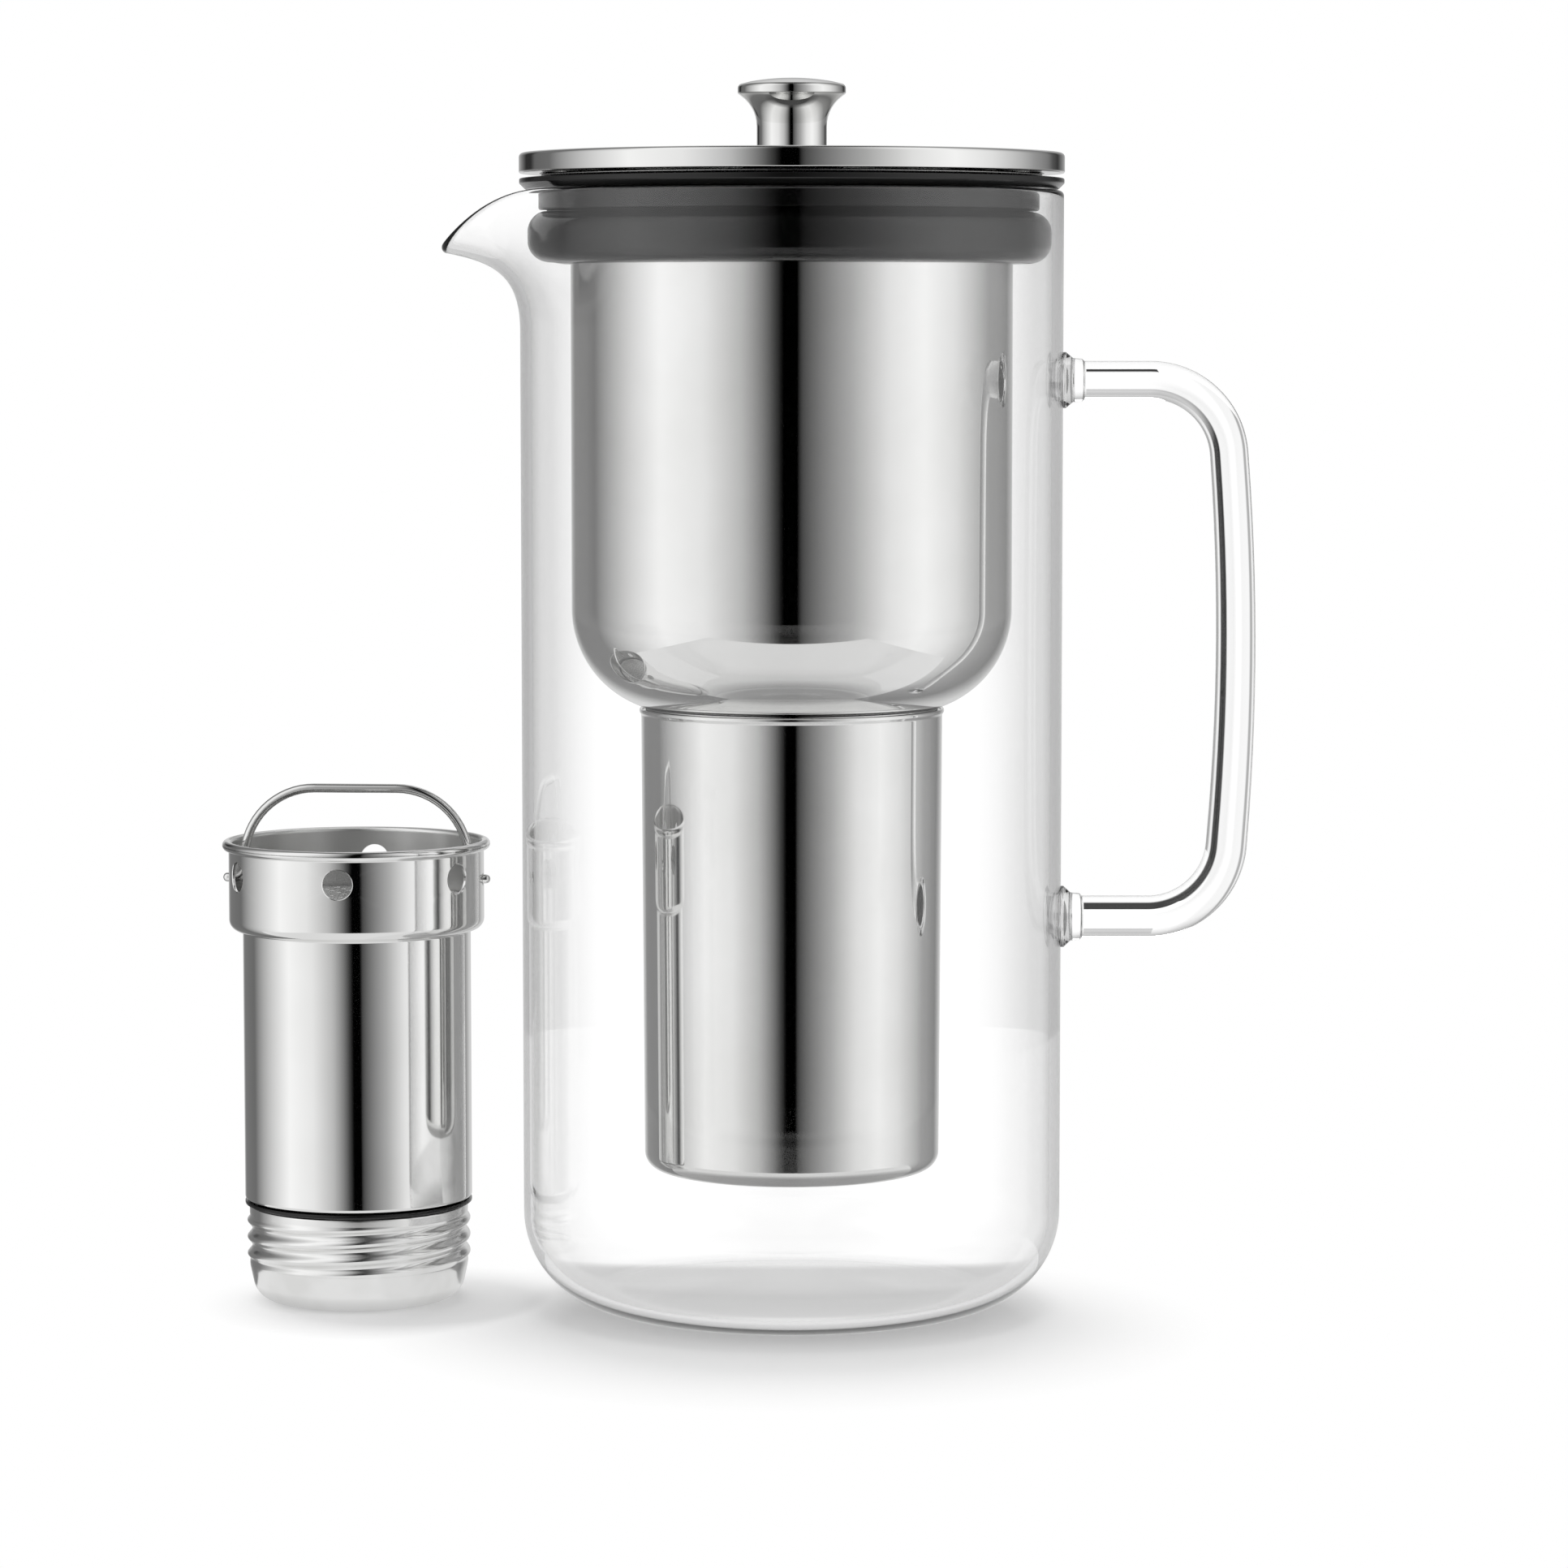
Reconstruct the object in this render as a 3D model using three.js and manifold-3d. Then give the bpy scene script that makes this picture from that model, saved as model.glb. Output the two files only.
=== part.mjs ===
// Water filter pitcher: a glass jug, a steel funnel that hangs in its mouth, a lid with a turned knob,
// and a refillable filter cartridge that stands beside the jug.
// Millimetres, +Z up. The origin is the middle of the jug's base, the handle points along +X and the
// spout along -X. Every piece is a turned profile, a skin or a rod along a path.

import * as THREE from 'three';
import { mergeVertices } from 'three/addons/utils/BufferGeometryUtils.js';
import Module from 'manifold-3d';

const wasm = await Module();
wasm.setup();

// Fits shared by all pieces
const SEAT_GAP = 0.3; // between pieces that rest on or in each other
const THREAD_GAP = 0.4; // radial play of the cartridge's neck in its cap
const LID_PLAY = 0.6; // radial play of the lid's ridge in the bowl's mouth
const CARTRIDGE_PLAY = 1.7; // radial play of the cartridge in the bowl's outlet

// Glass jug
const JUG_DIAMETER = 130;
const JUG_HEIGHT = 268.6;
const JUG_WALL = 2.6;
const JUG_FLOOR = 4.2;
const JUG_CORNER = 23; // outer radius of the base corner
const SPOUT_REACH = 19; // tip of the spout beyond the wall
const SPOUT_DEPTH = 32; // start of the spout's flare below the rim
const SPOUT_DROP = 13.5; // tip of the spout below the rim
const SPOUT_HALF_ANGLE = 34; // degrees to each side of the spout's middle
const SPOUT_HUG = 0.7; // share of the underside's rise that hugs the wall
const SPOUT_BEND_OUT = 0.34; // where the underside bends, as a share of its reach
const SPOUT_BEND_UP = 0.88; // and of its rise

// Glass handle
const HANDLE_ROD = 9.8; // rod diameter
const HANDLE_REACH = 38.7; // corners of the rod's centre line beyond the wall, at the arms
const HANDLE_BOW = 5.1; // corner of the bowed grip beyond those corners
const HANDLE_BELOW_RIM = 45.1; // upper arm's centre line
const HANDLE_SPAN = 129.4; // between the arms' centre lines
const HANDLE_BEND = 19; // centre-line radius between arm and grip
const GRIP_RADIUS = 580; // centre-line radius of the bowed grip
const FOOT_DIAMETER = 14; // fused foot where it meets the wall
const FOOT_LENGTH = 5;
const FOOT_LIP = 0.5; // foot's end stands proud of the rod

// Mouth collar and wiper seal
const FLANGE_PROUD = 0.1; // flange's edge beyond the glass
const FLANGE_THICKNESS = 2.6;
const FLANGE_TIP = 1.2; // thickness at the flange's edge
const COLLAR_WIDTH = 9.5; // from the bowl's wall to the glass
const COLLAR_NECK_PLAY = 3.2; // from the collar's neck to the glass
const COLLAR_NECK_FILLET = 2;
const COLLAR_BELOW_RIM = 17.3;
const SEAL_HEIGHT = 12.1;
const SEAL_GROOVE = 2.4; // depth of the seat cut into the collar's neck
const TONGUE_DEPTH = 1.2; // rib that holds the seal on the collar
const TONGUE_HEIGHT = 2;

// Funnel bowl and filter tube
const BOWL_WALL = 0.8;
const BOWL_CORNER = 25; // outer radius between wall and floor
const BOWL_LIP = 4; // width of the turned-out lip
const BOWL_LIP_BEND = 1.8;
const SPIGOT_LENGTH = 8; // bowl's outlet inside the tube
const TUBE_WALL = 0.8;
const TUBE_CLEARANCE = 29.1; // tube's underside above the jug's floor
const TUBE_CORNER = 4;
const TUBE_TAPER = 0.7; // radius lost from top to floor
const OUTLET_HOLE = 24; // diameter in the tube's floor
const OUTLET_BORE = 14; // diameter through the outlet seal
const OUTLET_LIP = 1.8; // thickness of each lip of the outlet seal
const OUTLET_LIP_WIDTH = 4;

// Lid and knob
const LID_PROUD = 0.15; // lid's edge beyond the glass
const LID_SHEET = 0.8;
const LID_BAND = 4.8; // height of the rolled edge
const LID_EDGE = 1.5; // outer radius of both rolled corners
const LID_HEM = 5; // width of the hem turned in under the band
const LID_LIFT = 1.2; // hem above the collar
const LINER_SHEET = 0.7;
const LINER_HUB = 18; // diameter of the raised middle
const LINER_SLOPE = 3.5; // width of the slope round the raised middle
const LINER_BEND = 1.1;
const RIDGE_DEPTH = 6; // ridge that centres the lid
const RIDGE_WIDTH = 5;
const KNOB_DIAMETER = 25.8;
const KNOB_STEM = 16.7;
const KNOB_HEIGHT = 17.6;
const KNOB_DOME = 1.5;
const KNOB_EDGE = 2.2; // upright edge of the head
const KNOB_FLARE = 4.8; // height of the head's sloping underside
const KNOB_FILLET = 7; // between stem and underside
const SCREW_DIAMETER = 4;
const SCREW_BITE = 9; // length inside the knob
const SCREW_HEAD = 7.2; // head diameter
const SCREW_HEAD_HEIGHT = 2.4;
const SCREW_RUNOUT = 1; // hole beyond the screw's tip
const WASHER_THICKNESS = 0.8;
const WASHER_BORDER = 1.2; // washer beyond the screw's head

// Filter cartridge
const CARTRIDGE_GAP = 8; // between the jug and the cartridge's pins
const CARTRIDGE_BACK = 6; // behind the jug's middle
const CARTRIDGE_TURN = -4; // degrees
const CARTRIDGE_HEIGHT = 112.3; // floor to rim
const RIM_PROUD = 4.2; // rim above the bowl's floor when the cartridge stands in the tube
const SHELL_DIAMETER = 55.2;
const SHELL_WALL = 0.8;
const COLLAR_STEP = 3.3; // cartridge collar beyond the can
const COLLAR_DEPTH = 21.8; // rim to the step
const COLLAR_CORNER = 3;
const RIM_REACH = 1.5; // rolled rim beyond the collar
const RIM_ROLL = 2.3; // height of the rolled rim
const INLET_HOLES = 6;
const INLET_DIAMETER = 7.2;
const INLET_BELOW_RIM = 7.9;
const NECK_LENGTH = 12; // can's neck inside the cap
const PAN_HEIGHT = 6.7; // top strainer above the step
const STRAINER_SHEET = 0.6;
const STRAINER_HOLE = 3;
const STRAINER_PITCH = 10; // between rings of holes
const GASKET_THICKNESS = 0.9;
const CAP_HEIGHT = 23.3;
const CAP_INSET = 0.45; // thread's crests inside the can's width
const CAP_BAND = 1.9; // plain band above the thread
const CAP_WALL = 0.8;
const CAP_SHOULDER = 8.5; // top of the tapered foot
const CAP_TAPER = 1.8; // radius lost in the tapered foot
const CAP_CORNER = 5.5;
const THREAD_PITCH = 4.1;
const THREAD_STARTS = 2;
const THREAD_DEPTH = 1.2;
const THREAD_CREST = 19.2; // height of a crest on the bail's side
const BED_FOOT = 6; // bottom of the granules

// Wire bail
const BAIL_WIRE = 2.2;
const BAIL_INSET = 1.55; // between the wire and the collar's inner wall
const BAIL_BELOW_RIM = 9.5; // pivot
const BAIL_RISE = 21.9; // pivot to the top bar
const BAIL_BEND = 17.4;
const PIN_BEND = 2.5;
const PIN_PROUD = 1.8; // pins beyond the collar

// Fineness of the facets
const ROUND = 28; // flats round a large turned piece
const SMALL_ROUND = 16; // flats round a small one
const ROD_SIDES = 10;
const WIRE_SIDES = 8;
const HANDLE_STEPS = 27;
const BAIL_STEPS = 28;
const ARC_SAG = 0.42; // how far a facet may lie inside a fillet
const SPOUT_COLUMNS = 10;
const JUG_COLUMNS = 32; // outside the spout
const FLARE_ROWS = 6;
const THREAD_ROWS = 4; // for each pitch
const DRILL_FLATS = 10;
const SIEVE_FLATS = 6;
const MERGE_DISTANCE = 1e-4;
const FULL_TURN = 2 * Math.PI;

// Radii that follow from the sizes above
const jugRadius = JUG_DIAMETER / 2;
const jugInside = jugRadius - JUG_WALL;
const bowlRadius = jugInside - COLLAR_WIDTH;
const bowlInside = bowlRadius - BOWL_WALL;
const flangeRadius = jugRadius + FLANGE_PROUD;
const lidRadius = jugRadius + LID_PROUD;
const shellRadius = SHELL_DIAMETER / 2;
const shellInside = shellRadius - SHELL_WALL;
const collarRadius = shellRadius + COLLAR_STEP;
const collarInside = collarRadius - SHELL_WALL;
const pinReach = collarRadius + PIN_PROUD;
const capRadius = shellRadius - CAP_INSET - THREAD_DEPTH / 2;
const capInside = capRadius - THREAD_DEPTH / 2 - CAP_WALL;
const neckRadius = capInside - THREAD_GAP;
const neckInside = neckRadius - SHELL_WALL;
const spigotRadius = pinReach + CARTRIDGE_PLAY + BOWL_WALL;
const tubeInside = spigotRadius + SEAT_GAP;
const tubeRadius = tubeInside + TUBE_WALL;

// Heights that follow from the sizes above
const tubeUnderside = JUG_FLOOR + TUBE_CLEARANCE;
const tubeFloor = tubeUnderside + TUBE_WALL;
const bowlFloor = tubeFloor + OUTLET_LIP + CARTRIDGE_HEIGHT - RIM_PROUD;
const flangeUnderside = JUG_HEIGHT + SEAT_GAP;
const collarTop = flangeUnderside + FLANGE_THICKNESS;
const collarFoot = JUG_HEIGHT - COLLAR_BELOW_RIM;
const lidFoot = collarTop + LID_LIFT;
const lidTop = lidFoot + LID_BAND;
const knobFoot = lidTop + SEAT_GAP;
const hubTop = lidTop - LID_SHEET - SEAT_GAP;
const shellFoot = CAP_HEIGHT + GASKET_THICKNESS + 2 * SEAT_GAP;
const stepHeight = CARTRIDGE_HEIGHT - COLLAR_DEPTH;
const pinHeight = CARTRIDGE_HEIGHT - BAIL_BELOW_RIM;

const glass = () => new THREE.MeshStandardMaterial({
  color: 0xe4ecec, roughness: 0.03, metalness: 0, transparent: true, opacity: 0.35,
});
const metal = (color, roughness) => new THREE.MeshStandardMaterial({ color, roughness, metalness: 1 });
const soft = (color, roughness) => new THREE.MeshStandardMaterial({ color, roughness, metalness: 0 });
const polishedSteel = () => metal(0xc9c9c7, 0.12);
const satinSteel = () => metal(0xbcbcba, 0.3);
const blackPlastic = () => soft(0x161616, 0.45);
const blackSilicone = () => soft(0x232323, 0.6);
const greySilicone = () => soft(0x8c8c8a, 0.6);
const charcoal = () => soft(0x2a2723, 0.9);

// Facets that an arc needs to stay true to its curve.
function arcSteps(radius, turn) {
  const step = 2 * Math.acos(Math.max(0, 1 - ARC_SAG / radius));
  return Math.max(1, Math.ceil(Math.abs(turn) / step));
}

// Points along corners [x, y, fillet]. Each fillet is an arc tangent to both sides, limited by them.
function rounded(corners, closed = false) {
  const count = corners.length;
  const at = (index) => corners[(index + count) % count];
  const points = [];
  corners.forEach(([x, y, fillet = 0], index) => {
    const corner = new THREE.Vector2(x, y);
    const isEnd = !closed && (index === 0 || index === count - 1);
    if (isEnd || fillet === 0) {
      points.push(corner);
      return;
    }
    points.push(...filletArc(corner, at(index - 1), at(index + 1), fillet));
  });
  return points;
}

// What a side gives to a fillet at one end: what the fillet at its other end leaves, and at least half.
function sideRoom(length, otherFillet = 0) {
  return Math.max(length / 2, length - otherFillet);
}

// The arc of one fillet.
function filletArc(corner, before, after, fillet) {
  const back = new THREE.Vector2(before[0], before[1]).sub(corner);
  const ahead = new THREE.Vector2(after[0], after[1]).sub(corner);
  const roomBack = sideRoom(back.length(), before[2]);
  const roomAhead = sideRoom(ahead.length(), after[2]);
  back.normalize();
  ahead.normalize();
  const halfAngle = Math.acos(THREE.MathUtils.clamp(back.dot(ahead), -1, 1)) / 2;
  const tangent = Math.min(fillet / Math.tan(halfAngle), roomBack, roomAhead);
  const radius = tangent * Math.tan(halfAngle);
  const middle = back.clone().add(ahead).normalize();
  const centre = corner.clone().addScaledVector(middle, radius / Math.sin(halfAngle));
  const start = corner.clone().addScaledVector(back, tangent).sub(centre);
  const turn = (Math.PI - 2 * halfAngle) * Math.sign(ahead.cross(back));
  const steps = arcSteps(radius, turn);
  const points = [];
  for (let step = 0; step <= steps; step += 1) {
    const arm = start.clone().rotateAround(new THREE.Vector2(), (turn * step) / steps);
    points.push(arm.add(centre));
  }
  return points;
}

// Points on an arc round a centre, from one angle to another.
function arc(centreX, centreY, radius, from, to) {
  const steps = arcSteps(radius, to - from);
  const points = [];
  for (let step = 0; step <= steps; step += 1) {
    const angle = from + ((to - from) * step) / steps;
    points.push(new THREE.Vector2(radius * Math.cos(angle) + centreX, radius * Math.sin(angle) + centreY));
  }
  return points;
}

// Closed section of a sheet: the given line, and the same line set over to its right by the thickness.
function sheet(line, thickness) {
  const right = (from, to) => new THREE.Vector2(to.y - from.y, from.x - to.x).normalize();
  const inner = line.map((point, index) => {
    const before = index > 0 ? right(line[index - 1], point) : right(point, line[1]);
    const after = index < line.length - 1 ? right(point, line[index + 1]) : before;
    const mitre = before.clone().add(after).multiplyScalar(thickness / (1 + before.dot(after)));
    return mitre.add(point);
  });
  return [...line, ...inner.reverse()];
}

// A geometry with shared vertices only, without the triangles that a pole on the axis collapses.
function welded(geometry) {
  const bare = geometry.clone();
  bare.deleteAttribute('normal');
  bare.deleteAttribute('uv');
  const merged = mergeVertices(bare, MERGE_DISTANCE);
  const corners = merged.index.array;
  const kept = [];
  for (let i = 0; i < corners.length; i += 3) {
    const [a, b, c] = corners.subarray(i, i + 3);
    if (a !== b && b !== c && c !== a) {
      kept.push(a, b, c);
    }
  }
  merged.setIndex(kept);
  return merged;
}

// A solid turned about Z from a closed outline of (radius, height) points.
function turned(outline, flats = ROUND) {
  const loop = THREE.ShapeUtils.isClockWise(outline) ? [...outline].reverse() : [...outline];
  loop.push(loop[0]);
  return welded(new THREE.LatheGeometry(loop, flats).rotateX(Math.PI / 2));
}

// A closed skin round Z. Each row gives the point at an azimuth, and the first and last rows are poles.
function skin(rows, azimuths) {
  const columns = azimuths.length;
  const positions = rows.flatMap((row) => azimuths.flatMap((azimuth) => row(azimuth).toArray()));
  const triangles = [];
  for (let row = 0; row < rows.length - 1; row += 1) {
    for (let column = 0; column < columns; column += 1) {
      const next = (column + 1) % columns;
      const a = row * columns + column;
      const b = row * columns + next;
      triangles.push(a, b, b + columns, a, b + columns, a + columns);
    }
  }
  const geometry = new THREE.BufferGeometry();
  geometry.setAttribute('position', new THREE.Float32BufferAttribute(positions, 3));
  geometry.setIndex(triangles);
  return welded(geometry);
}

// A rod of round section along a path.
function rod(path, diameter, sides, steps) {
  const section = new THREE.Shape();
  for (let side = 0; side < sides; side += 1) {
    const angle = (FULL_TURN * side) / sides;
    const x = (diameter / 2) * Math.cos(angle);
    const y = (diameter / 2) * Math.sin(angle);
    if (side === 0) {
      section.moveTo(x, y);
    } else {
      section.lineTo(x, y);
    }
  }
  section.closePath();
  return welded(new THREE.ExtrudeGeometry(section, { steps, extrudePath: path }));
}

// A path in the XZ plane through corners [x, z, fillet].
function uprightPath(corners) {
  const points = rounded(corners).map((point) => new THREE.Vector3(point.x, 0, point.y));
  const path = new THREE.CurvePath();
  for (let i = 1; i < points.length; i += 1) {
    path.add(new THREE.LineCurve3(points[i - 1], points[i]));
  }
  return path;
}

// A plain round cutter along Z between two heights.
function plug(radius, low, high, flats = SMALL_ROUND) {
  return new THREE.CylinderGeometry(radius, radius, high - low, flats)
    .rotateX(Math.PI / 2)
    .translate(0, 0, (low + high) / 2);
}

function toSolid(geometry) {
  const clean = welded(geometry);
  return new wasm.Manifold(new wasm.Mesh({
    numProp: 3,
    vertProperties: new Float32Array(clean.attributes.position.array),
    triVerts: new Uint32Array(clean.index.array),
  }));
}

function toGeometry(solid) {
  const mesh = solid.getMesh();
  const geometry = new THREE.BufferGeometry();
  geometry.setAttribute('position', new THREE.Float32BufferAttribute(mesh.vertProperties, mesh.numProp));
  geometry.setIndex([...mesh.triVerts]);
  return geometry;
}

function cut(geometry, cutters) {
  return toGeometry(cutters.reduce((solid, cutter) => solid.subtract(toSolid(cutter)), toSolid(geometry)));
}

function join(geometries) {
  return toGeometry(geometries.map(toSolid).reduce((solid, other) => solid.add(other)));
}

function piece(name, geometry, material) {
  const shaded = geometry.toNonIndexed();
  shaded.computeVertexNormals();
  const mesh = new THREE.Mesh(shaded, material);
  mesh.name = name;
  return mesh;
}

// Share of the spout at an azimuth: 1 at its middle, 0 outside its half angle.
function spoutShare(azimuth) {
  const away = Math.abs(azimuth - Math.PI) / THREE.MathUtils.degToRad(SPOUT_HALF_ANGLE);
  return away < 1 ? Math.cos((away * Math.PI) / 2) ** 2 : 0;
}

// Azimuths round the jug, closer together across the spout.
function jugAzimuths() {
  const half = THREE.MathUtils.degToRad(SPOUT_HALF_ANGLE);
  const plainStep = (FULL_TURN - 2 * half) / JUG_COLUMNS;
  const spoutStep = (2 * half) / SPOUT_COLUMNS;
  const plain = Array.from({ length: JUG_COLUMNS }, (_, i) => Math.PI + half + plainStep * i);
  const spout = Array.from({ length: SPOUT_COLUMNS }, (_, i) => Math.PI - half + spoutStep * i);
  return [...plain.map((azimuth) => azimuth % FULL_TURN), ...spout];
}

// The spout's underside at its middle, as (distance beyond the wall, height above the flare's start).
function spoutCurve() {
  const reach = SPOUT_REACH - JUG_WALL / 2;
  const rise = SPOUT_DEPTH - SPOUT_DROP;
  return new THREE.CubicBezierCurve(
    new THREE.Vector2(0, 0),
    new THREE.Vector2(0, SPOUT_HUG * rise),
    new THREE.Vector2(SPOUT_BEND_OUT * reach, SPOUT_BEND_UP * rise),
    new THREE.Vector2(reach, rise),
  );
}

// The jug's outer skin above the flare's start. The share of the way up runs from 0 to 1.
function flarePoint(share, azimuth) {
  const spout = spoutShare(azimuth);
  const middle = spoutCurve().getPoint(share);
  const radius = jugRadius + spout * middle.x;
  const climb = THREE.MathUtils.lerp(share * SPOUT_DEPTH, middle.y, spout ** 2);
  const start = JUG_HEIGHT - JUG_WALL / 2 - SPOUT_DEPTH;
  return new THREE.Vector3(radius * Math.cos(azimuth), radius * Math.sin(azimuth), start + climb);
}

// Unit vectors out of the flare's outer skin and up along it.
function flareDirections(share, azimuth) {
  const small = 1e-3;
  const around = flarePoint(share, azimuth + small).sub(flarePoint(share, azimuth - small));
  const up = flarePoint(share + small, azimuth).sub(flarePoint(share - small, azimuth)).normalize();
  const out = around.cross(up).normalize();
  return { out, up };
}

// A point in the glass: a depth below the outer skin, and a height above the skin's upper edge.
function flareGlass(share, depth, above) {
  return (azimuth) => {
    const { out, up } = flareDirections(share, azimuth);
    return flarePoint(share, azimuth).addScaledVector(out, -depth).addScaledVector(up, above);
  };
}

const turnedRow = (point) => (azimuth) => new THREE.Vector3(
  point.x * Math.cos(azimuth), point.x * Math.sin(azimuth), point.y,
);

function glassJug() {
  const shares = Array.from({ length: FLARE_ROWS + 1 }, (_, i) => i / FLARE_ROWS);
  const lip = JUG_WALL / 2;
  const lipAngles = [-Math.PI / 4, 0, Math.PI / 4];
  const outerBase = rounded([[0, 0], [jugRadius, 0, JUG_CORNER], [jugRadius, JUG_HEIGHT / 2]]);
  const innerBase = rounded([
    [jugInside, JUG_HEIGHT / 2], [jugInside, JUG_FLOOR, JUG_CORNER - JUG_WALL], [0, JUG_FLOOR],
  ]);
  const rows = [
    ...outerBase.slice(0, -1).map(turnedRow),
    ...shares.map((share) => flareGlass(share, 0, 0)),
    ...lipAngles.map((angle) => flareGlass(1, lip + lip * Math.sin(angle), lip * Math.cos(angle))),
    ...shares.toReversed().map((share) => flareGlass(share, JUG_WALL, 0)),
    ...innerBase.slice(1).map(turnedRow),
  ];
  return skin(rows, jugAzimuths());
}

// One fused foot, along +X from inside the wall.
function handleFoot(height) {
  const root = jugRadius - FOOT_LENGTH;
  const end = jugRadius + FOOT_LENGTH;
  const tip = HANDLE_ROD / 2 + FOOT_LIP;
  const outline = rounded([
    [0, root], [FOOT_DIAMETER / 2, root], [FOOT_DIAMETER / 2, jugRadius + FOOT_LIP, FOOT_LIP],
    [tip, end - FOOT_LIP, FOOT_LIP], [HANDLE_ROD / 2, end], [0, end],
  ], true);
  return turned(outline, SMALL_ROUND).rotateY(Math.PI / 2).translate(0, 0, height);
}

function glassHandle() {
  const upper = JUG_HEIGHT - HANDLE_BELOW_RIM;
  const lower = upper - HANDLE_SPAN;
  const grip = jugRadius + HANDLE_REACH;
  const root = jugRadius - FOOT_LENGTH / 2;
  const path = uprightPath([
    [root, upper], [grip, upper, HANDLE_BEND], [grip + HANDLE_BOW, (upper + lower) / 2, GRIP_RADIUS],
    [grip, lower, HANDLE_BEND], [root, lower],
  ]);
  const bar = rod(path, HANDLE_ROD, ROD_SIDES, HANDLE_STEPS);
  const wall = plug(jugRadius + SEAT_GAP, 0, JUG_HEIGHT, 2 * JUG_COLUMNS);
  return cut(join([bar, handleFoot(upper), handleFoot(lower)]), [wall]);
}

function mouthCollar() {
  const inside = bowlRadius + SEAT_GAP;
  const neck = jugInside - COLLAR_NECK_PLAY;
  const groove = neck - SEAL_GROOVE;
  const step = collarFoot + SEAL_HEIGHT + SEAT_GAP;
  const tongue = collarFoot + SEAL_HEIGHT / 2;
  const recess = bowlRadius + BOWL_LIP + SEAT_GAP;
  const ledge = collarTop - BOWL_WALL - SEAT_GAP;
  return turned(rounded([
    [inside, collarFoot], [groove, collarFoot],
    [groove, tongue - TONGUE_HEIGHT / 2], [groove + TONGUE_DEPTH, tongue],
    [groove, tongue + TONGUE_HEIGHT / 2], [groove, step], [neck, step, TONGUE_DEPTH / 2],
    [neck, flangeUnderside, COLLAR_NECK_FILLET], [jugRadius - JUG_WALL / 2, flangeUnderside],
    [flangeRadius, collarTop - FLANGE_TIP, FLANGE_TIP / 3],
    [flangeRadius, collarTop, FLANGE_TIP / 3],
    [recess, collarTop], [recess, ledge], [inside, ledge, BOWL_LIP_BEND - SEAT_GAP],
  ], true));
}

function wiperSeal() {
  const outer = jugInside - SEAT_GAP;
  const inner = jugInside - COLLAR_NECK_PLAY - SEAL_GROOVE + SEAT_GAP;
  const slot = inner + TONGUE_DEPTH;
  const middle = collarFoot + SEAL_HEIGHT / 2;
  const half = TONGUE_HEIGHT / 2 + SEAT_GAP;
  const top = collarFoot + SEAL_HEIGHT;
  return turned(rounded([
    [inner, collarFoot], [outer, collarFoot, SEAL_HEIGHT / 2], [outer, top, SEAL_HEIGHT / 2],
    [inner, top], [inner, middle + half], [slot, middle], [inner, middle - half],
  ], true));
}

// Height of the bowl's outer skin at a radius inside its rounded corner.
function bowlUnderside(radius) {
  const inward = Math.max(0, radius - (bowlRadius - BOWL_CORNER));
  return bowlFloor + BOWL_CORNER - Math.sqrt(BOWL_CORNER ** 2 - inward ** 2);
}

const tubeTop = bowlUnderside(tubeInside) - SEAT_GAP;

function funnelBowl() {
  const lipUnderside = collarTop - BOWL_WALL;
  const centreRadius = bowlRadius - BOWL_CORNER;
  const centreHeight = bowlFloor + BOWL_CORNER;
  const inward = Math.max(0, spigotRadius - centreRadius);
  const lipAndWall = rounded([
    [bowlRadius + BOWL_LIP, lipUnderside], [bowlRadius, lipUnderside, BOWL_LIP_BEND],
    [bowlRadius, centreHeight],
  ]);
  const line = [
    ...lipAndWall.slice(0, -1),
    ...arc(centreRadius, centreHeight, BOWL_CORNER, 0, -Math.acos(inward / BOWL_CORNER)),
    new THREE.Vector2(spigotRadius, tubeTop - SPIGOT_LENGTH),
  ];
  if (spigotRadius < centreRadius) {
    line.splice(-1, 0, new THREE.Vector2(spigotRadius, bowlFloor));
  }
  return turned(sheet(line, BOWL_WALL));
}

function filterTube() {
  const foot = tubeRadius - TUBE_TAPER;
  const line = rounded([
    [tubeRadius, tubeTop], [foot, tubeUnderside, TUBE_CORNER], [OUTLET_HOLE / 2, tubeUnderside],
  ]);
  return turned(sheet(line, TUBE_WALL));
}

function outletSeal() {
  const bore = OUTLET_BORE / 2;
  const waist = OUTLET_HOLE / 2 - SEAT_GAP;
  const lip = OUTLET_HOLE / 2 + OUTLET_LIP_WIDTH;
  const top = tubeFloor + OUTLET_LIP;
  const bottom = tubeUnderside - OUTLET_LIP;
  return turned(rounded([
    [bore, bottom], [lip, bottom, OUTLET_LIP / 2], [lip, tubeUnderside - SEAT_GAP],
    [waist, tubeUnderside - SEAT_GAP], [waist, tubeFloor + SEAT_GAP],
    [lip, tubeFloor + SEAT_GAP], [lip, top, OUTLET_LIP / 2], [bore, top],
  ], true), SMALL_ROUND);
}

function lidShell() {
  const line = rounded([
    [SCREW_DIAMETER / 2 + SEAT_GAP, lidTop], [lidRadius, lidTop, LID_EDGE],
    [lidRadius, lidFoot, LID_EDGE], [lidRadius - LID_HEM, lidFoot],
  ]);
  return turned(sheet(line, LID_SHEET));
}

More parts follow.
